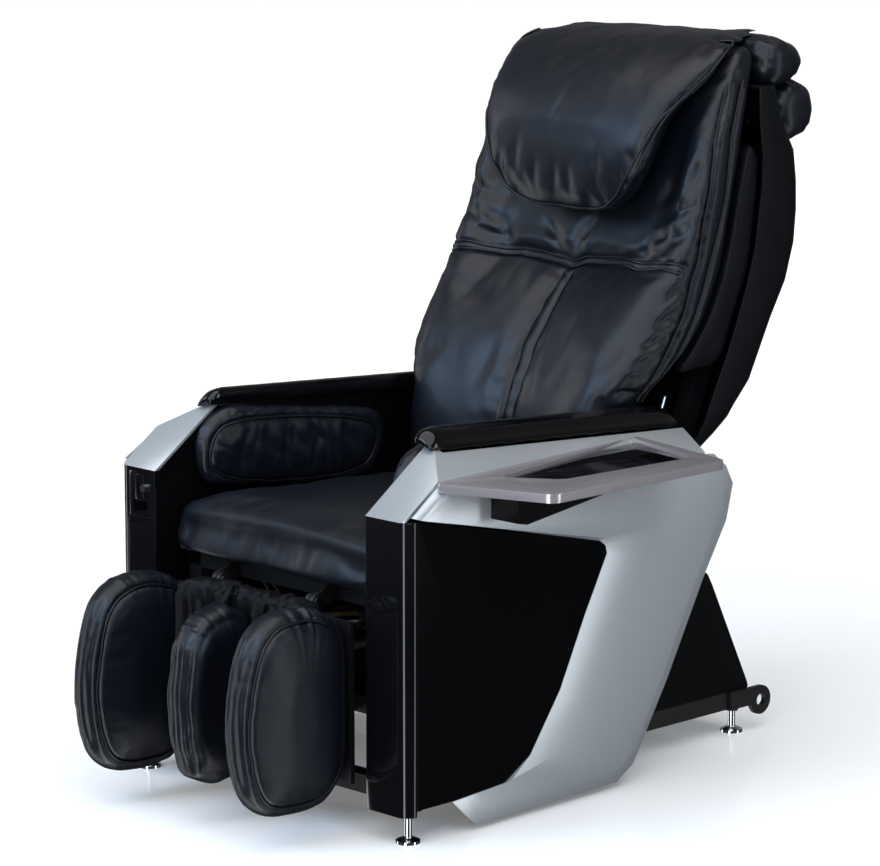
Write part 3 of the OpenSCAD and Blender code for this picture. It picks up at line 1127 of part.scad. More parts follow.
pump_gap = 4;

// Actuators: drawn along their own Y axis from the fixed pivot
function span(a, b) = norm(b - a);
function heading(a, b) = atan2(b[1] - a[1], b[0] - a[0]);
module along(x, a, b) translate([x, a[0], a[1]]) rotate([heading(a, b), 0, 0]) children();
barrel_r = 19;
rod_r = 9;
barrel_lo = 22;
drive_r = 20;
drive_len = 84;
module barrel(len, flip) {
  difference() {
    union() {
      y_rod(barrel_r, barrel_lo, len, 0, 0);
      box([-eye_w / 2, 0, -barrel_r * 0.7], [eye_w / 2, barrel_lo + cut, barrel_r * 0.7]);
      x_rod(barrel_r * 0.7, -eye_w / 2, eye_w / 2, 0, 0);
      // Gearbox and motor beside the barrel
      box([-barrel_r, barrel_lo, flip > 0 ? 0 : -barrel_r - 2 * drive_r], [barrel_r, barrel_lo + tube, flip > 0 ? barrel_r + 2 * drive_r : 0]);
      y_rod(drive_r, barrel_lo + tube, barrel_lo + tube + drive_len, 0, flip * (barrel_r + drive_r));
    }
    x_rod(lever_pin_r + run_gap, -eye_w, eye_w, 0, 0);
    y_rod(rod_r + run_gap, barrel_lo + eye_w, len + cut, 0, 0);
  }
}
back_barrel_len = 300;
calf_barrel_len = 250;
rod_inset = 120;
module back_cylinder() at_frame() color(steel_c) along(lever_x, back_actuator, lever_pin) barrel(back_barrel_len, -1);
module back_rod() at_frame() color(chrome_c) along(lever_x, back_actuator, lever_pin) {
  d = span(back_actuator, lever_pin);
  r = lever_pin_r + eye_play;
  difference() {
    union() {
      y_rod(rod_r, rod_inset, d - r, 0, 0);
      x_rod(r + lever_t, -eye_w / 2, eye_w / 2, d, 0);
    }
    x_rod(r, -eye_w, eye_w, d, 0);
  }
}
module calf_cylinder() at_frame() color(steel_c) along(calf_lever_x, calf_actuator, calf_lever_pin) barrel(calf_barrel_len, 1);
// The calf rod's yoke has a slot across the rod, in which the lever's pin rises and falls
slot_rise = 6;
slot_play = 2;
module slot_bar(r, rise, w) {
  for (s = [-1, 1]) x_rod(r, -w / 2, w / 2, 0, s * rise);
  box([-w / 2, -r, -rise], [w / 2, r, rise]);
}
module calf_rod() at_frame() color(chrome_c) along(calf_lever_x, calf_actuator, calf_lever_pin) {
  d = span(calf_actuator, calf_lever_pin);
  r = lever_pin_r + slot_play;
  difference() {
    union() {
      y_rod(rod_r, calf_barrel_len - rod_inset, d - r, 0, 0);
      translate([0, d, 0]) slot_bar(r + lever_t, slot_rise, eye_w);
    }
    translate([0, d, 0]) slot_bar(r, slot_rise, 2 * eye_w);
  }
}

base_frame();
seat_frame();
hinge_pins();
seat_board();
seat_cushion();
pod_frames();
inner_panel(1);  // inner_panel_left
inner_panel(-1);  // inner_panel_right
front_panel_left();
front_panel_right();
side_shell(1);  // side_shell_left
side_shell(-1);  // side_shell_right
side_inset(1);  // side_inset_left
side_inset(-1);  // side_inset_right
arm_cap(1);  // arm_cap_left
arm_cap(-1);  // arm_cap_right
arm_pad(1);  // arm_pad_left
arm_pad(-1);  // arm_pad_right
tray_frame();
tray_insert();
tray_bracket();
coin_plate();
coin_acceptor();
reject_button();
return_cup();
cash_box();
cash_door();
door_lock();
rear_cover();
power_supply();
control_board();
air_pump();
levelling_feet();
back_frame();
guide_rods();
lift_screw();
lift_motor();
back_shell();
back_cushion();
back_side_pads();
top_roll();
rear_bolster();
head_pillow();
carriage();
massage_arm(1);  // massage_arm_left
massage_arm(-1);  // massage_arm_right
roller(1, 1);  // roller_upper_left
roller(1, -1);  // roller_lower_left
roller(-1, 1);  // roller_upper_right
roller(-1, -1);  // roller_lower_right
calf_frame();
calf_wall(1);  // calf_wall_left
calf_wall(-1);  // calf_wall_right
calf_divider();
calf_pad();
back_cylinder();
back_rod();
calf_cylinder();
calf_rod();
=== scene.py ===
# %% [markdown]
# # A coin-operated massage chair
# The chair's hard parts come from a CAD model, which stays as it is. This lesson dresses them: padded
# leather is inflated and sewn, moulded covers get soft edges, and each finish is a recipe of nodes.

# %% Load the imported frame
import json
import math

import numpy as np
import bpy
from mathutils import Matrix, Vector, noise
from mathutils.bvhtree import BVHTree

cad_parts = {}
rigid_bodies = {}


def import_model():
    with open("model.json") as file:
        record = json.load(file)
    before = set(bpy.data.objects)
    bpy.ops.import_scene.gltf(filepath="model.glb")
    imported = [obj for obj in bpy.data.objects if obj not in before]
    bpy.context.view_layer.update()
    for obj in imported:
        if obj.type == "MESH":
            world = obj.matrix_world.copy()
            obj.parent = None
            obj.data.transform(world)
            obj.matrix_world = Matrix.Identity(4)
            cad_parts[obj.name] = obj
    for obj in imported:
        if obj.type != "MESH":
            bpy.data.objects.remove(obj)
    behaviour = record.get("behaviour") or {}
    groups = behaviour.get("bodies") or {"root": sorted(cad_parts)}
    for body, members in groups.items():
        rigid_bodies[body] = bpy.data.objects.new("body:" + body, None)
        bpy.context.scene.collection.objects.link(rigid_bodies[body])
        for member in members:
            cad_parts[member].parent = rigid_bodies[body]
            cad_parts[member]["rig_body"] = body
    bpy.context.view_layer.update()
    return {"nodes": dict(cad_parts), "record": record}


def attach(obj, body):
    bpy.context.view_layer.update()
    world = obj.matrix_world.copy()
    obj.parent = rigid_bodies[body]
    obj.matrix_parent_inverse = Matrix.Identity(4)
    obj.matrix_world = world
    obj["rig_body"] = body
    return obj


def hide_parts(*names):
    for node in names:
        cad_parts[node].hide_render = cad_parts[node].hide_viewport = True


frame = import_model()
nodes = frame["nodes"]
body_of = {n: b for b, group in frame["record"]["behaviour"]["bodies"].items() for n in group}
slot_of = {part["node"]: part["material_slot"] for part in frame["record"]["subparts"]}

# %% [markdown]
# The CAD was drawn in millimetres about the chair's own middle plane, and then moved so that the middle
# of its footprint is the origin. `chair` turns a drawing's millimetres into this scene's metres.

# %% From the drawing's millimetres to the scene's metres
MM = 0.001
DRAWING_SHIFT = Vector((-0.087, 0.0545, 0.0))


def chair(x, y, z):
    return Vector((x, y, z)) * MM + DRAWING_SHIFT


print("the drawing's middle plane lies at x =", DRAWING_SHIFT.x)

# %% [markdown]
# ## Camera, floor and light
# The photograph looks down on the chair from its front left corner with a long lens, so the edges stay
# nearly parallel. The camera stands where those edges put it.

# %% Camera
lens = bpy.data.cameras.new("photo_lens")
lens.sensor_width = 36.0
lens.lens = 156.0
lens.clip_end = 200.0
camera = bpy.data.objects.new("photo_camera", lens)
LOOKS_DOWN, TURNED_LEFT = 10.6, 45.4
camera.location = chair(4348, -4359, 1692)
camera.rotation_euler = (math.radians(90 - LOOKS_DOWN), 0, math.radians(TURNED_LEFT))
bpy.context.scene.collection.objects.link(camera)
bpy.context.scene.camera = camera
print("camera at", [round(c, 3) for c in camera.location])

# %% [markdown]
# Shader maths reads best as plain sums. `Wire` wraps an output socket, so that `1 - mask * 0.3` adds its
# own Math nodes, and `Recipe.node` adds any other node from its type, its settings and what goes into it.


# %% A small language for materials
class Wire:
    def __init__(self, recipe, socket):
        self.recipe, self.socket = recipe, socket

    def maths(self, operation, *values):
        return self.recipe.node("ShaderNodeMath", {"operation": operation}, values)

    def __add__(self, other):
        return self.maths("ADD", self, other)

    def __radd__(self, other):
        return self.maths("ADD", other, self)

    def __sub__(self, other):
        return self.maths("SUBTRACT", self, other)

    def __rsub__(self, other):
        return self.maths("SUBTRACT", other, self)

    def __mul__(self, other):
        return self.maths("MULTIPLY", self, other)

    def __rmul__(self, other):
        return self.maths("MULTIPLY", other, self)

    def __pow__(self, other):
        return self.maths("POWER", self, other)

    def __abs__(self):
        return self.maths("ABSOLUTE", self)


class Recipe:
    def __init__(self, name, library=bpy.data.materials):
        self.material = library.new(name)
        self.material.use_nodes = True
        self.tree = self.material.node_tree
        self.tree.nodes.clear()

    def plug(self, socket, value):
        if isinstance(value, Wire):
            self.tree.links.new(value.socket, socket)
        else:
            socket.default_value = value

    def node(self, kind, settings=None, inputs=(), output=0):
        made = self.tree.nodes.new(kind)
        for key, value in (settings or {}).items():
            setattr(made, key, value)
        pairs = inputs.items() if isinstance(inputs, dict) else enumerate(inputs)
        for key, value in pairs:
            self.plug(made.inputs[key], value)
        return Wire(self, made.outputs[output]) if len(made.outputs) else made

    def place(self, stretch=(1, 1, 1)):
        """Object coordinates, stretched."""
        here = self.node("ShaderNodeTexCoord", output="Object")
        return self.node("ShaderNodeMapping", inputs={"Vector": here, "Scale": stretch})

    def noise(self, scale, detail=2.0, stretch=(1, 1, 1), distortion=0.0):
        return self.node("ShaderNodeTexNoise", inputs={
            "Vector": self.place(stretch), "Scale": scale, "Detail": detail, "Distortion": distortion})

    def cells(self, scale, feature):
        return self.node("ShaderNodeTexVoronoi", {"feature": feature}, {
            "Vector": self.place(), "Scale": scale})

    def ramp(self, value, *stops):
        made = self.tree.nodes.new("ShaderNodeValToRGB")
        band = made.color_ramp
        while len(band.elements) < len(stops):
            band.elements.new(0.5)
        for element, (at, colour) in zip(band.elements, stops):
            element.position = at
            element.color = (*colour, 1) if isinstance(colour, tuple) else (colour, colour, colour, 1)
        self.plug(made.inputs[0], value)
        return Wire(self, made.outputs[0])

    def blend(self, share, first, second):
        """A colour between two, by a share from 0 to 1."""
        pair = [c if isinstance(c, Wire) else (*c, 1.0) for c in (first, second)]
        made = self.tree.nodes.new("ShaderNodeMix")
        made.data_type = "RGBA"
        self.plug(made.inputs[0], share)
        self.plug(made.inputs[6], pair[0])
        self.plug(made.inputs[7], pair[1])
        return Wire(self, made.outputs[2])

    def bump(self, height, distance, strength, below=None):
        inputs = {"Height": height, "Distance": distance, "Strength": strength}
        if below is not None:
            inputs["Normal"] = below
        return self.node("ShaderNodeBump", inputs=inputs)

    def finish(self, **sockets):
        names = {"base": "Base Color", "rough": "Roughness", "metal": "Metallic", "coat": "Coat Weight",
                 "coat_rough": "Coat Roughness", "normal": "Normal", "shine": "Specular IOR Level"}
        inputs = {names[key]: (*value, 1.0) if isinstance(value, tuple) else value
                  for key, value in sockets.items()}
        surface = self.node("ShaderNodeBsdfPrincipled", inputs=inputs)
        self.node("ShaderNodeOutputMaterial", inputs={"Surface": surface})
        return self.material


# %% [markdown]
# The studio stands on a white, slightly polished floor that runs out of sight. It has a faint glow of its
# own, which only the camera sees and which grows with the distance, so that the picture's far corners
# stay white.

# %% Floor
floor_paint = Recipe("studio_floor")
seen = floor_paint.node("ShaderNodeLightPath", output="Is Camera Ray")
gloss = floor_paint.noise(2.0) * 0.03 + 0.07
far = floor_paint.node("ShaderNodeVectorMath", {"operation": "LENGTH"}, [floor_paint.place()],
                       output="Value")
lift = floor_paint.ramp(far * 0.1, (0.12, 0.14), (0.6, 0.50))
surface = floor_paint.node("ShaderNodeBsdfPrincipled", inputs={
    "Base Color": (0.95, 0.952, 0.955, 1), "Roughness": gloss, "Specular IOR Level": 0.18,
    "Emission Color": floor_paint.blend(seen, (0, 0, 0), lift), "Emission Strength": 1.0})
floor_paint.node("ShaderNodeOutputMaterial", inputs={"Surface": surface})
FLOOR_SIZE = 120
bpy.ops.mesh.primitive_plane_add(size=FLOOR_SIZE)
floor = bpy.context.object
floor.name = "studio_floor"
floor.data.materials.append(floor_paint.material)
floor.visible_glossy = False
bpy.context.scene.view_settings.view_transform = "Standard"
print("floor:", FLOOR_SIZE, "m across")

# %% [markdown]
# The sky is dark, so that lacquer stays black. Narrow upright bars of light stand on it, and each one
# rules a thin bright line down a rounded corner.

# %% Sky
sky = Recipe("studio_sky", bpy.data.worlds)
ray = sky.node("ShaderNodeTexCoord", output="Generated")
rise = sky.node("ShaderNodeSeparateXYZ", inputs=[ray], output="Z")
dome = sky.ramp(rise * 0.5 + 0.5, (0.0, 0.08), (0.42, 0.04), (0.5, 0.12), (0.62, 0.24), (0.80, 0.12),
                (1.0, 0.10))
BAR_TOP = 0.45


def bar(degrees, half_width, strength):
    """An upright bar of light on the sky, at an angle round from straight ahead of the chair."""
    turned = sky.node("ShaderNodeVectorRotate", {"rotation_type": "Z_AXIS"}, {
        "Vector": ray, "Angle": math.radians(-degrees)})
    across = sky.node("ShaderNodeSeparateXYZ", inputs=[turned], output="X")
    ahead = sky.node("ShaderNodeSeparateXYZ", inputs=[turned], output="Y")
    inside = abs(across).maths("LESS_THAN", abs(across), math.sin(math.radians(half_width)))
    before = ahead.maths("LESS_THAN", ahead, 0.0)
    return inside * before * rise.maths("LESS_THAN", rise, BAR_TOP) * strength


glow = bar(21, 6.5, 7.0) + bar(112, 4.0, 5.0) + bar(-70, 5.0, 4.0)
light = sky.node("ShaderNodeBackground", inputs={
    "Color": sky.blend(rise, (0.92, 0.96, 1.0), (1.0, 1.0, 1.0)),
    "Strength": sky.node("ShaderNodeRGBToBW", inputs=[dome]) + glow})
sky.node("ShaderNodeOutputWorld", inputs={"Surface": light})
bpy.context.scene.world = sky.material
print("sky:", len(sky.tree.nodes), "nodes")

# %% [markdown]
# A broad sun from above whitens the floor and draws the soft shadow. Two soft boxes of cool light stand
# beside the camera, so that leather that faces us gets blue glints while the rest stays nearly black.


# %% Lamps
def lamp(name, at, aim, size, watts, colour):
    box = bpy.data.lights.new(name, "AREA")
    box.shape = "RECTANGLE"
    box.size, box.size_y = size
    box.energy = watts
    box.color = colour
    holder = bpy.data.objects.new(name, box)
    holder.location = at
    holder.rotation_euler = (Vector(aim) - Vector(at)).to_track_quat("-Z", "Y").to_euler()
    bpy.context.scene.collection.objects.link(holder)


sun = bpy.data.lights.new("even_light", "SUN")
sun.energy = 2.9
sun.angle = math.radians(80)
sun_holder = bpy.data.objects.new("even_light", sun)
sun_holder.rotation_euler = (math.radians(16), math.radians(8), 0)
bpy.context.scene.collection.objects.link(sun_holder)
lamp("left_box", (-1.6, -4.2, 3.0), (0, 0, 0.8), (2.3, 2.3), 125, (0.44, 0.68, 1.0))
lamp("right_box", (4.2, -1.8, 2.6), (0, 0, 0.5), (1.8, 2.2), 55, (0.50, 0.72, 1.0))
print("lamps:", [lit.name for lit in bpy.data.lights])

# %% [markdown]
# ## Finishes
# Upholstery leather is nearly black. What shows is its reflection, so the grain (small cells), the
# creases (stretched noise) and the worn, smoother places all go into the normal and the roughness.


# %% Leather
def leather(name, dark, light, rough, shine, grain=0.0002, crease=0.0007):
    mix_of = Recipe(name)
    cloudy = mix_of.noise(5.0, 4.0)
    pores = mix_of.cells(520.0, "DISTANCE_TO_EDGE")
    creases = mix_of.noise(34.0, 5.0, (1.0, 1.0, 0.55), distortion=0.8)
    fine = mix_of.bump(pores ** 0.5, grain, 0.5)
    normal = mix_of.bump(creases, crease, 0.55, fine)
    return mix_of.finish(base=mix_of.blend(cloudy, dark, light), shine=shine, normal=normal,
                         rough=cloudy * 0.16 + creases * 0.08 + rough - 0.12)


black_leather = leather("black_leather", (0.0022, 0.0028, 0.0050), (0.0040, 0.0058, 0.0110), 0.37, 0.34)
dull_leather = leather("dull_leather", (0.0018, 0.0020, 0.0028), (0.0030, 0.0036, 0.0050), 0.50, 0.12)
piping_leather = leather("piping_leather", (0.0035, 0.0038, 0.0055), (0.007, 0.008, 0.012), 0.32, 0.30,
                         0.0001, 0.0003)
print("leather:", black_leather.name, dull_leather.name, piping_leather.name)

# %% [markdown]
# The covers are lacquered plastic: almost black, with a clear coat that mirrors the bars of light, and a
# faint orange peel. The silver side is metallic paint, between a metal and a plain grey, with flakes too
# small to see.


# %% Lacquer, silver paint and metals
def lacquer(name, base, rough=0.05, shine=0.05, peel=0.00006, metal=0.0, flake=0.0, coat=0.0):
    mix_of = Recipe(name)
    peel_height = mix_of.noise(40.0, 1.0)
    haze = mix_of.noise(7.0, 3.0)
    tone = mix_of.noise(900.0, 0.0)
    lighter = tuple(c * (1 + flake) + 0.001 for c in base)
    return mix_of.finish(base=mix_of.blend(tone, base, lighter), rough=haze * 0.06 + rough, shine=shine,
                         coat=coat, coat_rough=0.03, metal=metal,
                         normal=mix_of.bump(peel_height, peel, 0.2))


def metal(name, base, rough, brush=(1, 1, 1), metallic=1.0):
    mix_of = Recipe(name)
    strokes = mix_of.noise(160.0, 3.0, brush)
    return mix_of.finish(base=base, metal=metallic, rough=strokes * 0.14 + rough,
                         normal=mix_of.bump(strokes, 0.0001, 0.3))


gloss_black = lacquer("gloss_black", (0.0020, 0.0020, 0.0026), coat=0.6)
panel_black = lacquer("panel_black", (0.0018, 0.0018, 0.0022), 0.12, 0.06)
silver_paint = lacquer("silver_paint", (0.43, 0.45, 0.46), 0.26, 0.5, 0.00003, 0.45, 0.08)
tray_silver = lacquer("tray_silver", (0.40, 0.365, 0.375), 0.22, 0.5, 0.00003, 0.60, 0.08)
black_plastic = lacquer("black_plastic", (0.003, 0.003, 0.0035), 0.30, 0.12, 0.0001)
chrome = metal("chrome", (0.80, 0.81, 0.83), 0.02)
bright_steel = metal("bright_steel", (0.62, 0.63, 0.65), 0.14, (1, 1, 14))
black_steel = metal("black_steel", (0.005, 0.005, 0.006), 0.36, metallic=0.1)
print("lacquers and metals:", gloss_black.name, silver_paint.name, chrome.name, "and five more")

# %% [markdown]
# The seat board is plywood with its front edge painted black, because that edge shows under the cushion.
# The circuit board's copper tracks are a brick pattern, and the massage rollers are grey, scuffed rubber.

# %% Board, circuit and rubber
BOARD_PAINT_END = -0.3715
wood = Recipe("board")
rings = wood.node("ShaderNodeTexWave", {"bands_direction": "X"}, {
    "Vector": wood.place((1, 0.12, 1)), "Scale": 14.0, "Distortion": 5.0, "Detail": 3.0})
front_back = wood.node("ShaderNodeSeparateXYZ", inputs=[wood.place()], output="Y")
painted = front_back.maths("LESS_THAN", front_back, BOARD_PAINT_END)
grain = wood.blend(rings, (0.34, 0.20, 0.09), (0.52, 0.35, 0.18))
board = wood.finish(base=wood.blend(painted, grain, (0.006, 0.006, 0.007)), rough=rings * 0.15 + 0.5,
                    normal=wood.bump(rings, 0.0004, 0.4))
green = Recipe("circuit")
tracks = green.node("ShaderNodeTexBrick", inputs={
    "Vector": green.place(), "Scale": 90.0, "Mortar Size": 0.03,
    "Color1": (0.01, 0.09, 0.035, 1), "Color2": (0.015, 0.12, 0.05, 1), "Mortar": (0.30, 0.22, 0.08, 1)})
circuit = green.finish(base=tracks, rough=green.noise(40.0) * 0.1 + 0.3)
tyre = Recipe("roller_rubber")
scuff = tyre.noise(70.0, 4.0)
roller_rubber = tyre.finish(base=tyre.blend(scuff, (0.05, 0.05, 0.052), (0.09, 0.088, 0.085)),
                            rough=scuff * 0.2 + 0.55, normal=tyre.bump(scuff, 0.0004, 0.4))

finish_of = {"black_leather": black_leather, "gloss_black": gloss_black, "silver_paint": silver_paint,
             "tray_silver": tray_silver, "black_steel": black_steel, "bright_steel": bright_steel,
             "chrome": chrome, "black_plastic": black_plastic, "board": board, "circuit": circuit,
             "roller_rubber": roller_rubber}
for name, thing in nodes.items():
    thing.data.materials.clear()
    thing.data.materials.append(finish_of[slot_of[name]])
print("finishes:", sorted(set(slot_of.values())))

# %% [markdown]
# ## Hard covers
# A piece of this scene starts as a copy of a CAD node's mesh, with the seam vertices merged. It takes a
# finish, stands for its node, and rides on the node's body, so that it moves with the joint.


# %% Copies of the CAD's meshes
def own_copy(name, node):
    piece = bpy.data.objects.new(name, nodes[node].data.copy())
    bpy.context.scene.collection.objects.link(piece)
    piece.data.materials.clear()
    start_edit(piece)
    bpy.ops.mesh.remove_doubles(threshold=0.00005)
    bpy.ops.object.mode_set(mode="OBJECT")
    return piece


def pick(piece):
    """Makes a piece the active one, and the only one that is selected."""
    bpy.ops.object.select_all(action="DESELECT")
    bpy.context.view_layer.objects.active = piece
    piece.select_set(True)


def start_edit(piece):
    pick(piece)
    bpy.ops.object.mode_set(mode="EDIT")
    bpy.ops.mesh.select_all(action="SELECT")


def use(piece, kind, **settings):
    """Adds a modifier and applies it."""
    pick(piece)
    made = piece.modifiers.new(kind.lower(), kind)
    for key, value in settings.items():
        setattr(made, key, value)
    bpy.ops.object.modifier_apply(modifier=made.name)


def dress(piece, node, finish):
    """The piece takes a finish and stands for a CAD node."""
    piece.data.materials.clear()
    piece.data.materials.append(finish)
    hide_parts(node)
    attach(piece, body_of[node])


# %% [markdown]
# The covers leave their moulds with soft edges, which catch the bars of light as thin bright lines. So
# needless edges are dissolved, and each corner sharper than the crease angle is bevelled.


# %% Moulded covers
def cover(name, node, finish, radius, segments=3, crease=28):
    piece = own_copy(name, node)
    start_edit(piece)
    bpy.ops.mesh.dissolve_limited(angle_limit=math.radians(1.0))
    bpy.ops.object.mode_set(mode="OBJECT")
    use(piece, "BEVEL", width=radius, segments=segments, limit_method="ANGLE", use_clamp_overlap=True,
        angle_limit=math.radians(crease))
    bpy.ops.object.shade_smooth_by_angle(angle=math.radians(38))
    dress(piece, node, finish)
    print(name, len(piece.data.polygons), "faces")


for side in ("left", "right"):
    cover(f"shell_{side}", f"side_shell_{side}", silver_paint, 0.0028, 4)
    cover(f"front_{side}", f"front_panel_{side}", gloss_black, 0.0009)
    cover(f"inset_{side}", f"side_inset_{side}", panel_black, 0.0012)
    cover(f"liner_{side}", f"inner_panel_{side}", panel_black, 0.0010)
cover("tray", "tray_frame", tray_silver, 0.0009)
cover("dish", "tray_insert", gloss_black, 0.0010)
cover("door", "cash_door", gloss_black, 0.0008)
cover("coin_face", "coin_plate", gloss_black, 0.0006)
cover("rear_box", "rear_cover", black_plastic, 0.0030)
cover("back_cover", "back_shell", dull_leather, 0.0030, crease=40)

# %% [markdown]
# The armrest caps are longer curves than a bevel can give. Each is drawn again as an even skin over the
# CAD's solid, and smoothing rounds every edge alike, as the draft of a moulded cap does.


# %% Armrest caps
def skin(name, node, cell=0.007, soften=4):
    piece = own_copy(name, node)
    use(piece, "REMESH", mode="VOXEL", voxel_size=cell)
    use(piece, "SMOOTH", factor=0.5, iterations=soften)
    bpy.ops.object.shade_smooth()
    return piece


for side in ("left", "right"):
    cap = skin(f"armrest_{side}", f"arm_cap_{side}", 0.0036, 14)
    dress(cap, f"arm_cap_{side}", gloss_black)
    print(cap.name, len(cap.data.polygons), "faces")

# %% [markdown]
# ## Upholstery
# A cushion is a sewn bag pulled over foam. Each one starts as an even skin over the CAD's plain shape, is
# blown up with the seams held, and then gets the grooves, folds and gathers that thread pulls into
# leather. Vertices are read and written as one array of places, so that numpy can move them all at once.


# %% A piece's vertices as an array
def places(piece):
    found = np.empty(len(piece.data.vertices) * 3)
    piece.data.vertices.foreach_get("co", found)
    return found.reshape(-1, 3)


def facing(piece):
    found = np.empty(len(piece.data.vertices) * 3)
    piece.data.vertices.foreach_get("normal", found)
    return found.reshape(-1, 3)


def put(piece, where):
    piece.data.vertices.foreach_set("co", where.ravel())
    piece.data.update()


# %% [markdown]
# Stuffing is a short cloth simulation: air pressure inside the skin, with the seams pinned. A little
# slack lets the leather belly out between them, and the cap keeps the cushion near its drawing.


# %% Stuffing
CLOTH_FRAMES = 20


def stuff(piece, held, pressure, slack, cap):
    """Blows the skin up with the held vertices pinned, and keeps each vertex within cap of its start."""
    start = places(piece)
    group = piece.vertex_groups.new(name="held")
    group.add([int(i) for i in np.nonzero(held)[0]], 1.0, "REPLACE")
    cloth = piece.modifiers.new("stuffing", "CLOTH")
    rules = cloth.settings
    rules.quality = 5
    rules.mass = 0.3
    rules.tension_stiffness = rules.compression_stiffness = 15
    rules.shear_stiffness = 5
    rules.bending_stiffness = 0.4
    rules.use_pressure = True
    rules.uniform_pressure_force = pressure
    rules.shrink_min = slack
    rules.effector_weights.gravity = 0
    rules.vertex_group_mass = "held"
    scene = bpy.context.scene
    for step in range(CLOTH_FRAMES):
        scene.frame_set(step + 1)
    solved = piece.evaluated_get(bpy.context.evaluated_depsgraph_get())
    moved = np.array([v.co[:] for v in solved.data.vertices]) - start
    piece.modifiers.remove(cloth)
    scene.frame_set(1)
    far = np.linalg.norm(moved, axis=1, keepdims=True)
    put(piece, start + moved * np.minimum(1.0, cap / np.maximum(far, 1e-9)))
    print(piece.name, "stuffed, mean pull in mm before the cap:", round(float(far.mean() / MM), 1))


def finer(piece):
    use(piece, "SUBSURF", levels=1, render_levels=1)


# %% [markdown]
# Thread shortens leather. A seam sinks into a groove, and small folds run off it because the cut edge was
# longer than the seam. Both are functions of the distance to a line and of the place along it.


# %% Grooves, gathers and swells
FAR_AWAY = 1e9


def along(where, line, reach=0.05):
    """For each place: its distance from a line of points, and how far along the line it lies, in metres."""
    points = np.array([tuple(p) for p in line])
    best = np.full(len(where), FAR_AWAY)
    run = np.zeros(len(where))
    close = np.all((where > points.min(axis=0) - reach) & (where < points.max(axis=0) + reach), axis=1)
    some, nearest, runs, walked = where[close], best[close], run[close], 0.0
    for a, b in zip(points, points[1:]):
        step = b - a
        size = np.linalg.norm(step)
        if size < 1e-7:
            continue
        t = np.clip((some - a) @ step / size ** 2, 0, 1)
        gap = np.linalg.norm(some - a - t[:, None] * step, axis=1)
        closer = gap < nearest
        nearest[closer] = gap[closer]
        runs[closer] = walked + t[closer] * size
        walked += size
    best[close], run[close] = nearest, runs
    return best, run, walked


def press(piece, line, depth, width, taper=0.0):
    """Sinks the surface along a line; a negative depth lifts it. Taper fades the ends, over that share."""
    where = places(piece)
    gap, run, total = along(where, line, width * 3)
    near = gap < width * 3
    fade = np.ones(len(where))
    if taper:
        share = run / total
        fade = np.clip(np.minimum(share, 1 - share) / taper, 0, 1)
        fade = fade * fade * (3 - 2 * fade)
    drop = depth * np.exp(-((gap / width) ** 2)) * fade
    where[near] -= (facing(piece) * drop[:, None])[near]
    put(piece, where)


def gather(piece, line, depth, reach, pitch, seed=1.0):
    """Small folds that run away from a seam and die out."""
    where = places(piece)
    gap, run, total = along(where, line, reach * 4)
    chance = np.random.default_rng(int(seed * 10))
    waves = np.zeros(len(where))
    for part, share in ((1.0, 1.0), (0.618, 0.6), (1.73, 0.45)):
        phase, drift = chance.uniform(0, 6.28), chance.uniform(-0.5, 0.5)
        waves += share * np.sin(2 * np.pi * run / (pitch * part) + phase + drift * gap / pitch)
    patch = 0.55 + 0.45 * np.sin(2 * np.pi * run / (pitch * 5.3) + seed)
    fade = (np.exp(-gap / reach) * np.minimum(1, gap / (reach * 0.12))
            * np.clip(np.minimum(run, total - run) / pitch, 0, 1))
    near = gap < reach * 4
    where[near] -= (facing(piece) * (depth * patch * waves * fade)[:, None])[near]
    put(piece, where)


def rumple(piece, depth, size, seed=0.0, stretch=(1, 1, 1)):
    """Broad uneven swells, as in leather that has been sat on."""
    where = places(piece)
    out = facing(piece)
    lift = [noise.noise(Vector(p * np.array(stretch) / size) + Vector((seed, seed, seed))) for p in where]
    put(piece, where + out * (depth * np.array(lift))[:, None])


# %% [markdown]
# Seam lines are drawn as rough rows of points, read from the photograph with the camera. They are laid
# onto the finished skin, and piping follows them after its small shakes have been evened out.


# %% Lines on a surface, and piping along them
def onto(piece, *lines, step=0.006):
    """Lines laid on a piece's surface, with points a step apart."""
    tree = BVHTree.FromObject(piece, bpy.context.evaluated_depsgraph_get())
    laid = []
    for line in lines:
        points = []
        for a, b in zip(line, line[1:]):
            count = max(1, round((b - a).length / step))
            points += [tree.find_nearest(a.lerp(b, k / count))[0] for k in range(count)]
        laid.append(points + [tree.find_nearest(line[-1])[0]])
    return laid


cords = {}


def evened(points):
    """Takes the shake out of a row of points, with its ends kept."""
    points = np.array([tuple(p) for p in points])
    for turn in range(4):
        points[1:-1] = (points[:-2] + 2 * points[1:-1] + points[2:]) / 4
    return points


def cord(piece, line, radius=0.0022, sink=0.2):
    """A length of piping along a line, laid on the surface of a piece and pulled straight."""
    tree = BVHTree.FromObject(piece, bpy.context.evaluated_depsgraph_get())
    found = [tree.find_nearest(p) for p in onto(piece, line)[0]]
    lifted = evened([hit[1] for hit in found]) * radius * (1 - 2 * sink)
    laid = evened([hit[0] for hit in found]) + lifted
    cords.setdefault(piece["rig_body"], []).append(([Vector(p) for p in laid], radius))


def oval(points, share):
    """A closed line inside an outline: its points drawn towards their middle, and its corners cut round."""
    middle = sum((Vector(p) for p in points), Vector()) / len(points)
    line = [middle + (Vector(p) - middle) * share for p in points]
    for turn in range(2):
        cut = []
        for a, b in zip(line, line[1:] + line[:1]):
            cut += [a.lerp(b, 0.25), a.lerp(b, 0.75)]
        line = cut
    return line


# %% [markdown]
# ### The back
# One large cover, sewn from a lower half, an upper half and a strip down each side. A padded band crosses
# it where the halves meet, and the lower half is gathered into a seam up its middle, so that its two
# sides stand proud. Folds fan from the side seams, because the leather there has to turn round the lumbar
# curve.

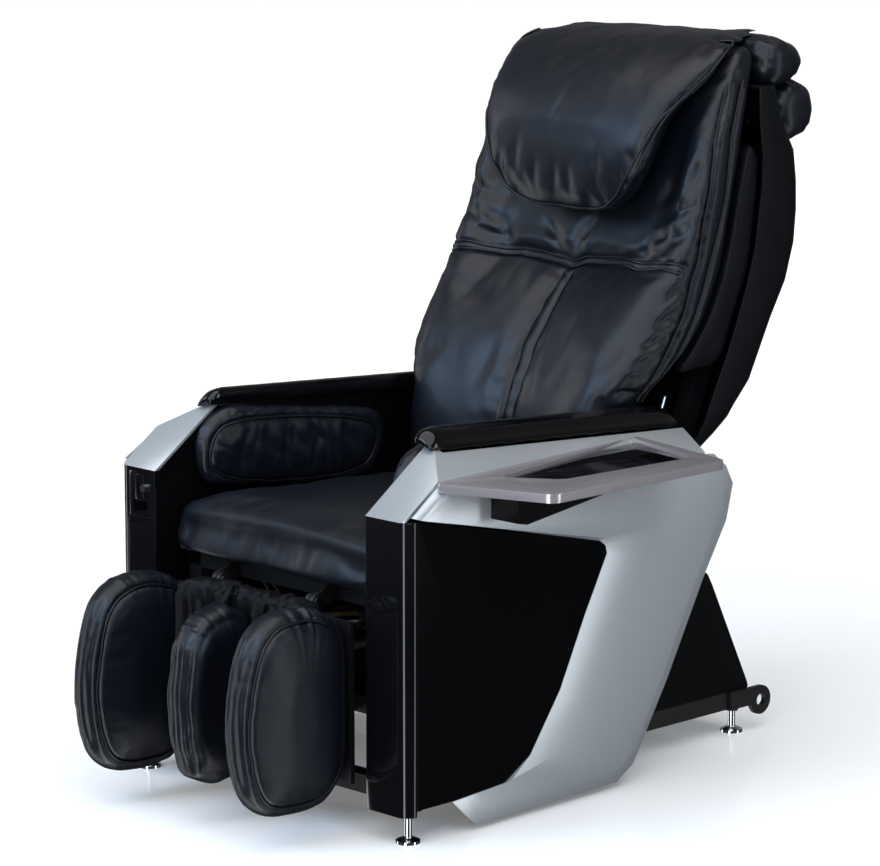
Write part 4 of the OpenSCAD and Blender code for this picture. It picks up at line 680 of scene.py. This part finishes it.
# %% Lines of the back's seams, in the drawing's millimetres
def path(*points):
    return [chair(*p) for p in points]


def flipped(line):
    """The same line on the chair's other side."""
    return [Vector((2 * DRAWING_SHIFT.x - p.x, p.y, p.z)) for p in line]


band_top = path((-262, 218, 812), (-196, 218, 815), (-111, 240, 814), (-15, 245, 806), (2, 243, 798),
                (25, 244, 810), (115, 244, 817), (167, 237, 821), (234, 211, 824), (263, 228, 819))
band_foot = path((-262, 205, 799), (-194, 216, 802), (-109, 239, 801), (-15, 238, 794), (2, 236, 790),
                 (24, 245, 799), (120, 239, 806), (181, 221, 810), (239, 206, 813), (261, 218, 808))
middle_seams = [path((-8, 233, 789), (-10, 184, 740), (-9, 146, 694), (-9, 124, 659), (-9, 100, 615),
                     (-10, 83, 557), (-10, 84, 500)),
                path((12, 230, 789), (15, 175, 730), (16, 141, 689), (15, 118, 646), (14, 95, 605),
                     (12, 84, 560), (10, 84, 500))]
strip_out = path((250, 380, 1110), (257, 360, 1064), (260, 344, 1025), (263, 335, 976), (264, 327, 920),
                 (264, 308, 864), (265, 292, 824), (265, 275, 776), (265, 252, 729), (259, 215, 667),
                 (250, 192, 630), (240, 175, 590))
strip_in = path((246, 345, 1110), (254, 324, 1063), (258, 308, 1027), (263, 295, 980), (264, 287, 931),
                (264, 273, 883), (265, 262, 827), (265, 243, 788), (265, 232, 748), (262, 198, 694),
                (252, 168, 642), (240, 150, 600))
fan_folds = [path((265, 246, 784), (264, 210, 780), (252, 178, 758)),
             path((265, 229, 745), (264, 191, 739), (254, 152, 716)),
             path((264, 206, 710), (263, 169, 704), (250, 130, 687)),
             path((262, 181, 675), (260, 144, 672), (244, 108, 658)),
             path((254, 160, 643), (254, 122, 645), (236, 92, 634)),
             path((240, 147, 620), (241, 109, 622), (224, 80, 612))]
big_folds = [path((250, 291, 1003), (249, 276, 972), (236, 258, 928)),
             path((259, 271, 949), (249, 254, 916), (200, 267, 878)),
             path((261, 257, 901), (249, 235, 869), (196, 237, 840)),
             path((216, 293, 984), (184, 291, 932), (150, 282, 890)),
             path((243, 240, 882), (202, 248, 859), (143, 261, 841)),
             path((245, 223, 846), (190, 235, 832), (118, 247, 826))]
v_folds = [path((-91, 275, 872), (-73, 266, 853), (-42, 253, 831), (-8, 245, 806)),
           path((30, 280, 884), (16, 270, 858), (6, 256, 832), (3, 245, 806))]
slack_folds = [path((-253, 178, 758), (-169, 166, 742), (-88, 157, 718)),
               path((-81, 79, 575), (-65, 110, 641), (-57, 138, 689)),
               path((76, 84, 594), (83, 124, 673), (90, 184, 750)),
               path((190, 82, 625), (210, 112, 673), (231, 156, 736)),
               path((-200, 82, 600), (-185, 100, 650), (-190, 130, 700))]
print("folds:", len(fan_folds + big_folds + v_folds + slack_folds))

# %% Back cushion, stuffed
back = skin("back_leather", "back_cushion", 0.0078, 5)
where = places(back)
BACK_SEAMS = (band_top, band_foot, *middle_seams, strip_out, flipped(strip_out),
              strip_in, flipped(strip_in))
seams = onto(back, *BACK_SEAMS)
held = facing(back)[:, 1] > 0.30
for line in seams:
    held |= along(where, line)[0] < 0.010
stuff(back, held, pressure=5.0, slack=-0.012, cap=0.011)
use(back, "SMOOTH", factor=0.5, iterations=6)
finer(back)

# %% [markdown]
# The seams are laid onto the stuffed skin again, sewn in, and joined by folds that die out at both ends.

# %% Back cushion's seams and folds
seams = onto(back, *BACK_SEAMS)
top, foot, seam_left, seam_right, out_left, out_right, in_left, in_right = seams
for line in (top, foot):
    press(back, line, 0.0050, 0.0050)
for line in (seam_left, seam_right):
    press(back, line, 0.0060, 0.0060, 0.05)
    gather(back, line, 0.0014, 0.034, 0.060, 2.0)
for line in (out_left, out_right):
    press(back, line, 0.0045, 0.0055, 0.04)
for line in (in_left, in_right):
    press(back, line, 0.0055, 0.0060, 0.04)
    gather(back, line, 0.0012, 0.018, 0.032, 5.0)
FOLDS = ((fan_folds, True, 0.0085, 0.0085), (big_folds, True, 0.0085, 0.013),
         (slack_folds, False, 0.0045, 0.018), (v_folds, False, 0.0080, 0.012))
for folds, both_sides, depth, width in FOLDS:
    for fold in folds:
        for line in onto(back, *([fold, flipped(fold)] if both_sides else [fold])):
            press(back, line, depth, width, 0.5)
rumple(back, 0.0022, 0.090, 3.0)
rumple(back, 0.0003, 0.030, 8.0)
bpy.ops.object.shade_smooth()
dress(back, "back_cushion", black_leather)
for line in (top, foot, out_left, out_right, in_left, in_right):
    cord(back, line, 0.0020)
for line in (seam_left, seam_right):
    cord(back, line, 0.0014, 0.35)
print("back:", len(back.data.polygons), "faces")

# %% [markdown]
# ### Head pillow, roll and bolster
# The pillow is a flap that hangs over the top of the back, bound all round with two rows of piping. The
# roll behind it and the bolster under the roll are drawn tight at their ends, which puckers the leather
# there.

# %% Head pillow
HEM_END, INNER_SHARE, CORNER_DROP = 14, 0.8, 0.013
pillow = skin("pillow_leather", "head_pillow", 0.0055, 3)
stuff(pillow, facing(pillow)[:, 1] > 0.2, pressure=3.0, slack=-0.010, cap=0.009)
use(pillow, "SMOOTH", factor=0.5, iterations=8)
finer(pillow)
hem = path((0, 205, 887), (38, 207, 888), (80, 207, 890), (108, 207, 897), (129, 205, 909), (149, 205, 928),
           (168, 205, 957), (183, 215, 994), (196, 237, 1041), (212, 274, 1086), (227, 316, 1120),
           (235, 349, 1148), (229, 375, 1165), (214, 413, 1169), (202, 456, 1176), (188, 491, 1183))
where = places(pillow)
rear_left = (np.clip((chair(-60, 0, 0).x - where[:, 0]) / 0.12, 0, 1)
             * np.clip((where[:, 1] - chair(0, 400, 0).y) / 0.07, 0, 1))
where[:, 2] -= CORNER_DROP * rear_left
put(pillow, where)
hem_lines = onto(pillow, hem, flipped(hem))
for line in hem_lines:
    gather(pillow, line, 0.0009, 0.016, 0.034, 3.0)
pleats = [path((-4, 205, 893), (-6, 205, 930), (-2, 212, 985)),
          path((34, 205, 900), (30, 206, 940), (24, 213, 980)),
          path((-40, 205, 898), (-52, 206, 940), (-48, 214, 990)),
          path((-88, 205, 925), (-96, 208, 970), (-90, 226, 1030)),
          path((80, 205, 915), (92, 207, 965), (86, 222, 1020)),
          path((-20, 216, 1010), (-8, 232, 1060), (6, 262, 1105))]
for line in onto(pillow, *pleats):
    press(pillow, line, 0.0022, 0.0100, 0.5)
rumple(pillow, 0.0030, 0.075, 5.0, (1, 1, 0.6))
rumple(pillow, 0.0003, 0.030, 7.0)
bpy.ops.object.shade_smooth()
dress(pillow, "head_pillow", black_leather)
inner_hem = [[p.lerp(Vector((DRAWING_SHIFT.x, p.y - 0.010, p.z + 0.03 * (1 - k / len(line)))), 0.055)
              for k, p in enumerate(line)] for line in hem_lines]
hem_cords = [line[:-HEM_END] for line in hem_lines]
hem_cords += [line[:int(len(line) * INNER_SHARE)] for line in inner_hem]
for line in hem_cords:
    cord(pillow, line, 0.0022, 0.15)
print("pillow:", len(pillow.data.polygons), "faces")

# %% Roll and bolster behind the head
RIBS, RIB_TWIST, PUCKER_PITCH, SWELLING = 11, 18, 0.026, 0.006
PUCKERS = {"top_roll": (0.0042, 0.050, 1.0), "rear_bolster": (0.0052, 0.060, 2.0)}
for node, (depth, reach, seed) in PUCKERS.items():
    roll = skin(f"{node}_leather", node, 0.0055, 5)
    stuff(roll, np.zeros(len(roll.data.vertices), bool), pressure=4.0, slack=-0.01, cap=0.005)
    finer(roll)
    where, out = places(roll), facing(roll)
    low, high = where.min(axis=0), where.max(axis=0)
    turn = np.arctan2(where[:, 2] - (low[2] + high[2]) / 2, where[:, 1] - (low[1] + high[1]) / 2)
    from_end = np.minimum(where[:, 0] - low[0], high[0] - where[:, 0])
    ribs = np.sin(turn * RIBS + 2 * np.sin(turn * 2 + seed) + from_end * RIB_TWIST)
    across = np.sin(from_end * 2 * np.pi / PUCKER_PITCH + 1.5 * np.sin(turn * 3))
    lift = ribs * np.exp(-from_end / reach) + 0.35 * across * np.exp(-from_end / (reach * 1.2))
    lift = depth * 0.4 * lift * np.clip((from_end - 0.003) / 0.016, 0, 1)
    put(roll, where + out * (SWELLING + lift)[:, None])
    rumple(roll, 0.0020, 0.055, seed)
    bpy.ops.object.shade_smooth()
    dress(roll, node, black_leather)

# %% [markdown]
# Between the cushion and the back shell lies a dull padded strip. It is only rumpled, because nothing is
# sewn into it.

# %% Padded sides of the back
sides = skin("back_sides_leather", "back_side_pads", 0.006, 4)
finer(sides)
rumple(sides, 0.0018, 0.045, 9.0, (1, 1, 0.4))
bpy.ops.object.shade_smooth()
dress(sides, "back_side_pads", dull_leather)
print("padded sides:", len(sides.data.polygons), "faces")

# %% [markdown]
# ### Seat and arm pads
# The seat is one smooth panel, pulled down over its board at the front. The arm pads are flat bags with
# piping round the face, and their leather is slack, so that it hangs in slanting creases.

# %% Seat cushion
LIP_DROP, LIP_FORWARD = 0.026, 0.010
seat = skin("seat_leather", "seat_cushion", 0.0072, 6)
where, out = places(seat), facing(seat)
stuff(seat, (out[:, 2] < -0.4) | (where[:, 1] > chair(0, 20, 0).y), pressure=4.0, slack=-0.01, cap=0.010)
use(seat, "SMOOTH", factor=0.5, iterations=3)
finer(seat)
where = places(seat)
front = (np.clip((chair(0, -415, 0).y - where[:, 1]) / 0.03, 0, 1)
         * np.clip((chair(0, 0, 425).z - where[:, 2]) / 0.03, 0, 1))
where[:, 2] -= LIP_DROP * front
where[:, 1] -= LIP_FORWARD * front
put(seat, where)
for line in onto(seat, path((-200, -440, 440), (0, -446, 446), (200, -440, 440))):
    press(seat, line, -0.003, 0.020)
rumple(seat, 0.0030, 0.110, 2.0)
rumple(seat, 0.0008, 0.030, 6.0)
bpy.ops.object.shade_smooth()
dress(seat, "seat_cushion", black_leather)
print("seat:", len(seat.data.polygons), "faces")

# %% Arm pads
POD_FRONT, POD_DEPTH, ARM_HEIGHT = -472, 752, 591
PAD_STRETCH, PAD_SHIFT = np.array([0.0, 0.0, 0.12]), np.array([0.0, 0.008, 0.003])
face_line = [(0.096, 0.802), (0.582, 0.746), (0.643, 0.835), (0.628, 0.926), (0.160, 0.998), (0.088, 0.935)]
for side, sign in (("left", 1), ("right", -1)):
    pad = skin(f"arm_pad_{side}_leather", f"arm_pad_{side}", 0.0052, 4)
    where, out = places(pad), facing(pad)
    where += (where - where.mean(axis=0)) * PAD_STRETCH + PAD_SHIFT
    put(pad, where)
    rim = oval([chair(sign * 212, POD_FRONT + y * POD_DEPTH, z * ARM_HEIGHT) for y, z in face_line], 0.90)
    rim = onto(pad, rim + rim[:1])[0]
    held = (out[:, 0] * sign > 0.3) | (along(where, rim)[0] < 0.008)
    stuff(pad, held, pressure=5.0, slack=-0.02, cap=0.010)
    use(pad, "SMOOTH", factor=0.4, iterations=1)
    finer(pad)
    rim = onto(pad, rim)[0]
    press(pad, rim, 0.0035, 0.0050)
    gather(pad, rim, 0.0010, 0.022, 0.045, 4.0 + sign)
    slants = [path((sign * 205, -300, 560), (sign * 204, -250, 520), (sign * 205, -210, 492)),
              path((sign * 205, -245, 562), (sign * 204, -190, 520), (sign * 205, -160, 490)),
              path((sign * 205, -180, 552), (sign * 204, -140, 520), (sign * 206, -115, 492)),
              path((sign * 205, -340, 545), (sign * 204, -320, 510), (sign * 205, -300, 486)),
              path((sign * 205, -110, 545), (sign * 204, -80, 515), (sign * 206, -60, 490))]
    for line in onto(pad, *slants):
        press(pad, line, 0.0050, 0.0130, 0.5)
    rumple(pad, 0.0018, 0.040, 4.0 + sign)
    bpy.ops.object.shade_smooth()
    dress(pad, f"arm_pad_{side}", black_leather)
    cord(pad, rim, 0.0022)
    print(pad.name, len(pad.data.polygons), "faces")

# %% [markdown]
# ### Calf rest
# Each leg lies in a channel between an outer wall and the divider. The walls have an oval panel on either
# face, sewn in with piping, and the leather between the two panels is gathered where it turns over the
# top.


# %% Calf rest's outer walls
CALF_FRONT, CALF_DEPTH, CALF_FOOT, CALF_HEIGHT = -690, 224, 47, 323


def calf_rim(piece, x, outline, share):
    """A closed seam on a calf piece's face, from an outline in shares of the rest's depth and height."""
    spots = [chair(x, CALF_FRONT + y * CALF_DEPTH, CALF_FOOT + z * CALF_HEIGHT) for y, z in outline]
    rim = oval(spots, share)
    return onto(piece, rim + rim[:1])[0]


wall_line = [(0.33, 0), (0.80, 0), (0.998, 0.16), (0.998, 0.80), (0.92, 0.93), (0.66, 1), (0.36, 1),
             (0.14, 0.91), (0.03, 0.64), (0, 0.42), (0.05, 0.20), (0.15, 0.06)]
for side, sign in (("left", 1), ("right", -1)):
    wall = skin(f"calf_{side}_leather", f"calf_wall_{side}", 0.0055, 5)
    rims = [calf_rim(wall, x, wall_line, share) for x, share in ((sign * 215, 0.92), (sign * 143, 0.90))]
    where = places(wall)
    held = where[:, 1] > chair(0, -474, 0).y
    for rim in rims:
        held |= along(where, rim)[0] < 0.007
    stuff(wall, held, pressure=6.0, slack=-0.012, cap=0.010)
    use(wall, "SMOOTH", factor=0.5, iterations=6)
    finer(wall)
    rims = onto(wall, *rims)
    for rim in rims:
        press(wall, rim, 0.0040, 0.0050)
        gather(wall, rim, 0.0004, 0.016, 0.050, 6.0 + sign)
    top_line = onto(wall, path((sign * 180, CALF_FRONT + 60, 372), (sign * 180, CALF_FRONT + 200, 352)))[0]
    gather(wall, top_line, 0.0030, 0.030, 0.026, 3.0 + sign)
    for line in onto(wall, path((sign * 166, -640, 352), (sign * 168, -688, 240), (sign * 166, -672, 90)),
                     path((sign * 192, -640, 352), (sign * 190, -688, 240), (sign * 192, -672, 90))):
        press(wall, line, 0.0030, 0.0060, 0.1)
    rumple(wall, 0.0016, 0.090, 7.0 + sign, (1, 1, 0.5))
    bpy.ops.object.shade_smooth()
    dress(wall, f"calf_wall_{side}", black_leather)
    for rim in rims:
        cord(wall, rim, 0.0022)
    print(wall.name, len(wall.data.polygons), "faces")

# %% [markdown]
# The divider has an oval panel on either side too, but no piping. Its front is sewn in upright tucks, as
# the photograph shows, and it is padded wider than the CAD's, so that the channels look as narrow as they
# are.

# %% Calf rest's divider
DIVIDER_WIDENING = 0.30
divider = skin("calf_divider_leather", "calf_divider", 0.0052, 5)
finer(divider)
middle_line = [(0.36, 0.04), (0.62, 0.02), (0.80, 0.10), (0.8587, 0.5), (0.8587, 0.80), (0.74, 0.92),
               (0.50, 0.93), (0.28, 0.84), (0.20, 0.60), (0.19, 0.36), (0.24, 0.15)]
where = places(divider)
where[:, 0] += (where[:, 0] - chair(0, 0, 0).x) * DIVIDER_WIDENING
put(divider, where)
for sign in (1, -1):
    press(divider, calf_rim(divider, sign * 36, middle_line, 0.86), 0.0020, 0.0060)
for x in (-26, -10, 4, 19, 31):
    for line in onto(divider, path((x, -640, 330), (x * 0.8, -652, 200), (x, -636, 75))):
        press(divider, line, 0.0032, 0.0055, 0.15)
gather(divider, onto(divider, path((0, -640, 320), (0, -560, 345)))[0], 0.0035, 0.050, 0.020, 2.0)
rumple(divider, 0.0020, 0.050, 1.0)
bpy.ops.object.shade_smooth()
dress(divider, "calf_divider", black_leather)
print("divider:", len(divider.data.polygons), "faces")

# %% [markdown]
# The channels' leather is slack, so that air cells can swell behind it: it hangs in upright tucks from a
# gathered top edge.

# %% Leather of the leg channels
channels = skin("calf_channels_leather", "calf_pad", 0.0058, 3)
finer(channels)
for x in (-120, -100, -78, -55, 55, 78, 100, 120):
    for line in onto(channels, path((x, -510, 340), (x * 1.02, -505, 200), (x, -510, 80))):
        press(channels, line, 0.0040, 0.0070, 0.1)
channel_top = onto(channels, path((-140, -500, 352), (0, -510, 352), (140, -500, 352)))[0]
gather(channels, channel_top, 0.0060, 0.060, 0.024, 3.0)
rumple(channels, 0.0020, 0.050, 4.0)
bpy.ops.object.shade_smooth()
dress(channels, "calf_pad", dull_leather)
print("channels:", len(channels.data.polygons), "faces")

# %% [markdown]
# ## Piping
# Piping is a thin cord wrapped in leather and sewn into the seam. The lines laid above become round
# tubes, one mesh for each body that they move with.

# %% Piping
CORD_RADIUS = 0.002
for body, lines in cords.items():
    curve = bpy.data.curves.new(f"piping_{body}", "CURVE")
    curve.dimensions = "3D"
    curve.bevel_depth = CORD_RADIUS
    curve.bevel_resolution = 2
    for laid, radius in lines:
        spline = curve.splines.new("POLY")
        spline.points.add(len(laid) - 1)
        for point, spot in zip(spline.points, laid):
            point.co = (*spot, 1)
            point.radius = radius / CORD_RADIUS
    drawn = bpy.data.objects.new(f"piping_{body}_curve", curve)
    bpy.context.scene.collection.objects.link(drawn)
    mesh = bpy.data.meshes.new_from_object(drawn.evaluated_get(bpy.context.evaluated_depsgraph_get()))
    bpy.data.objects.remove(drawn)
    piping = bpy.data.objects.new(f"piping_{body}", mesh)
    bpy.context.scene.collection.objects.link(piping)
    mesh.materials.clear()
    mesh.materials.append(piping_leather)
    for face in mesh.polygons:
        face.use_smooth = True
    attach(piping, body)
    print("piping on", body, len(lines), "lines", len(mesh.polygons), "faces")
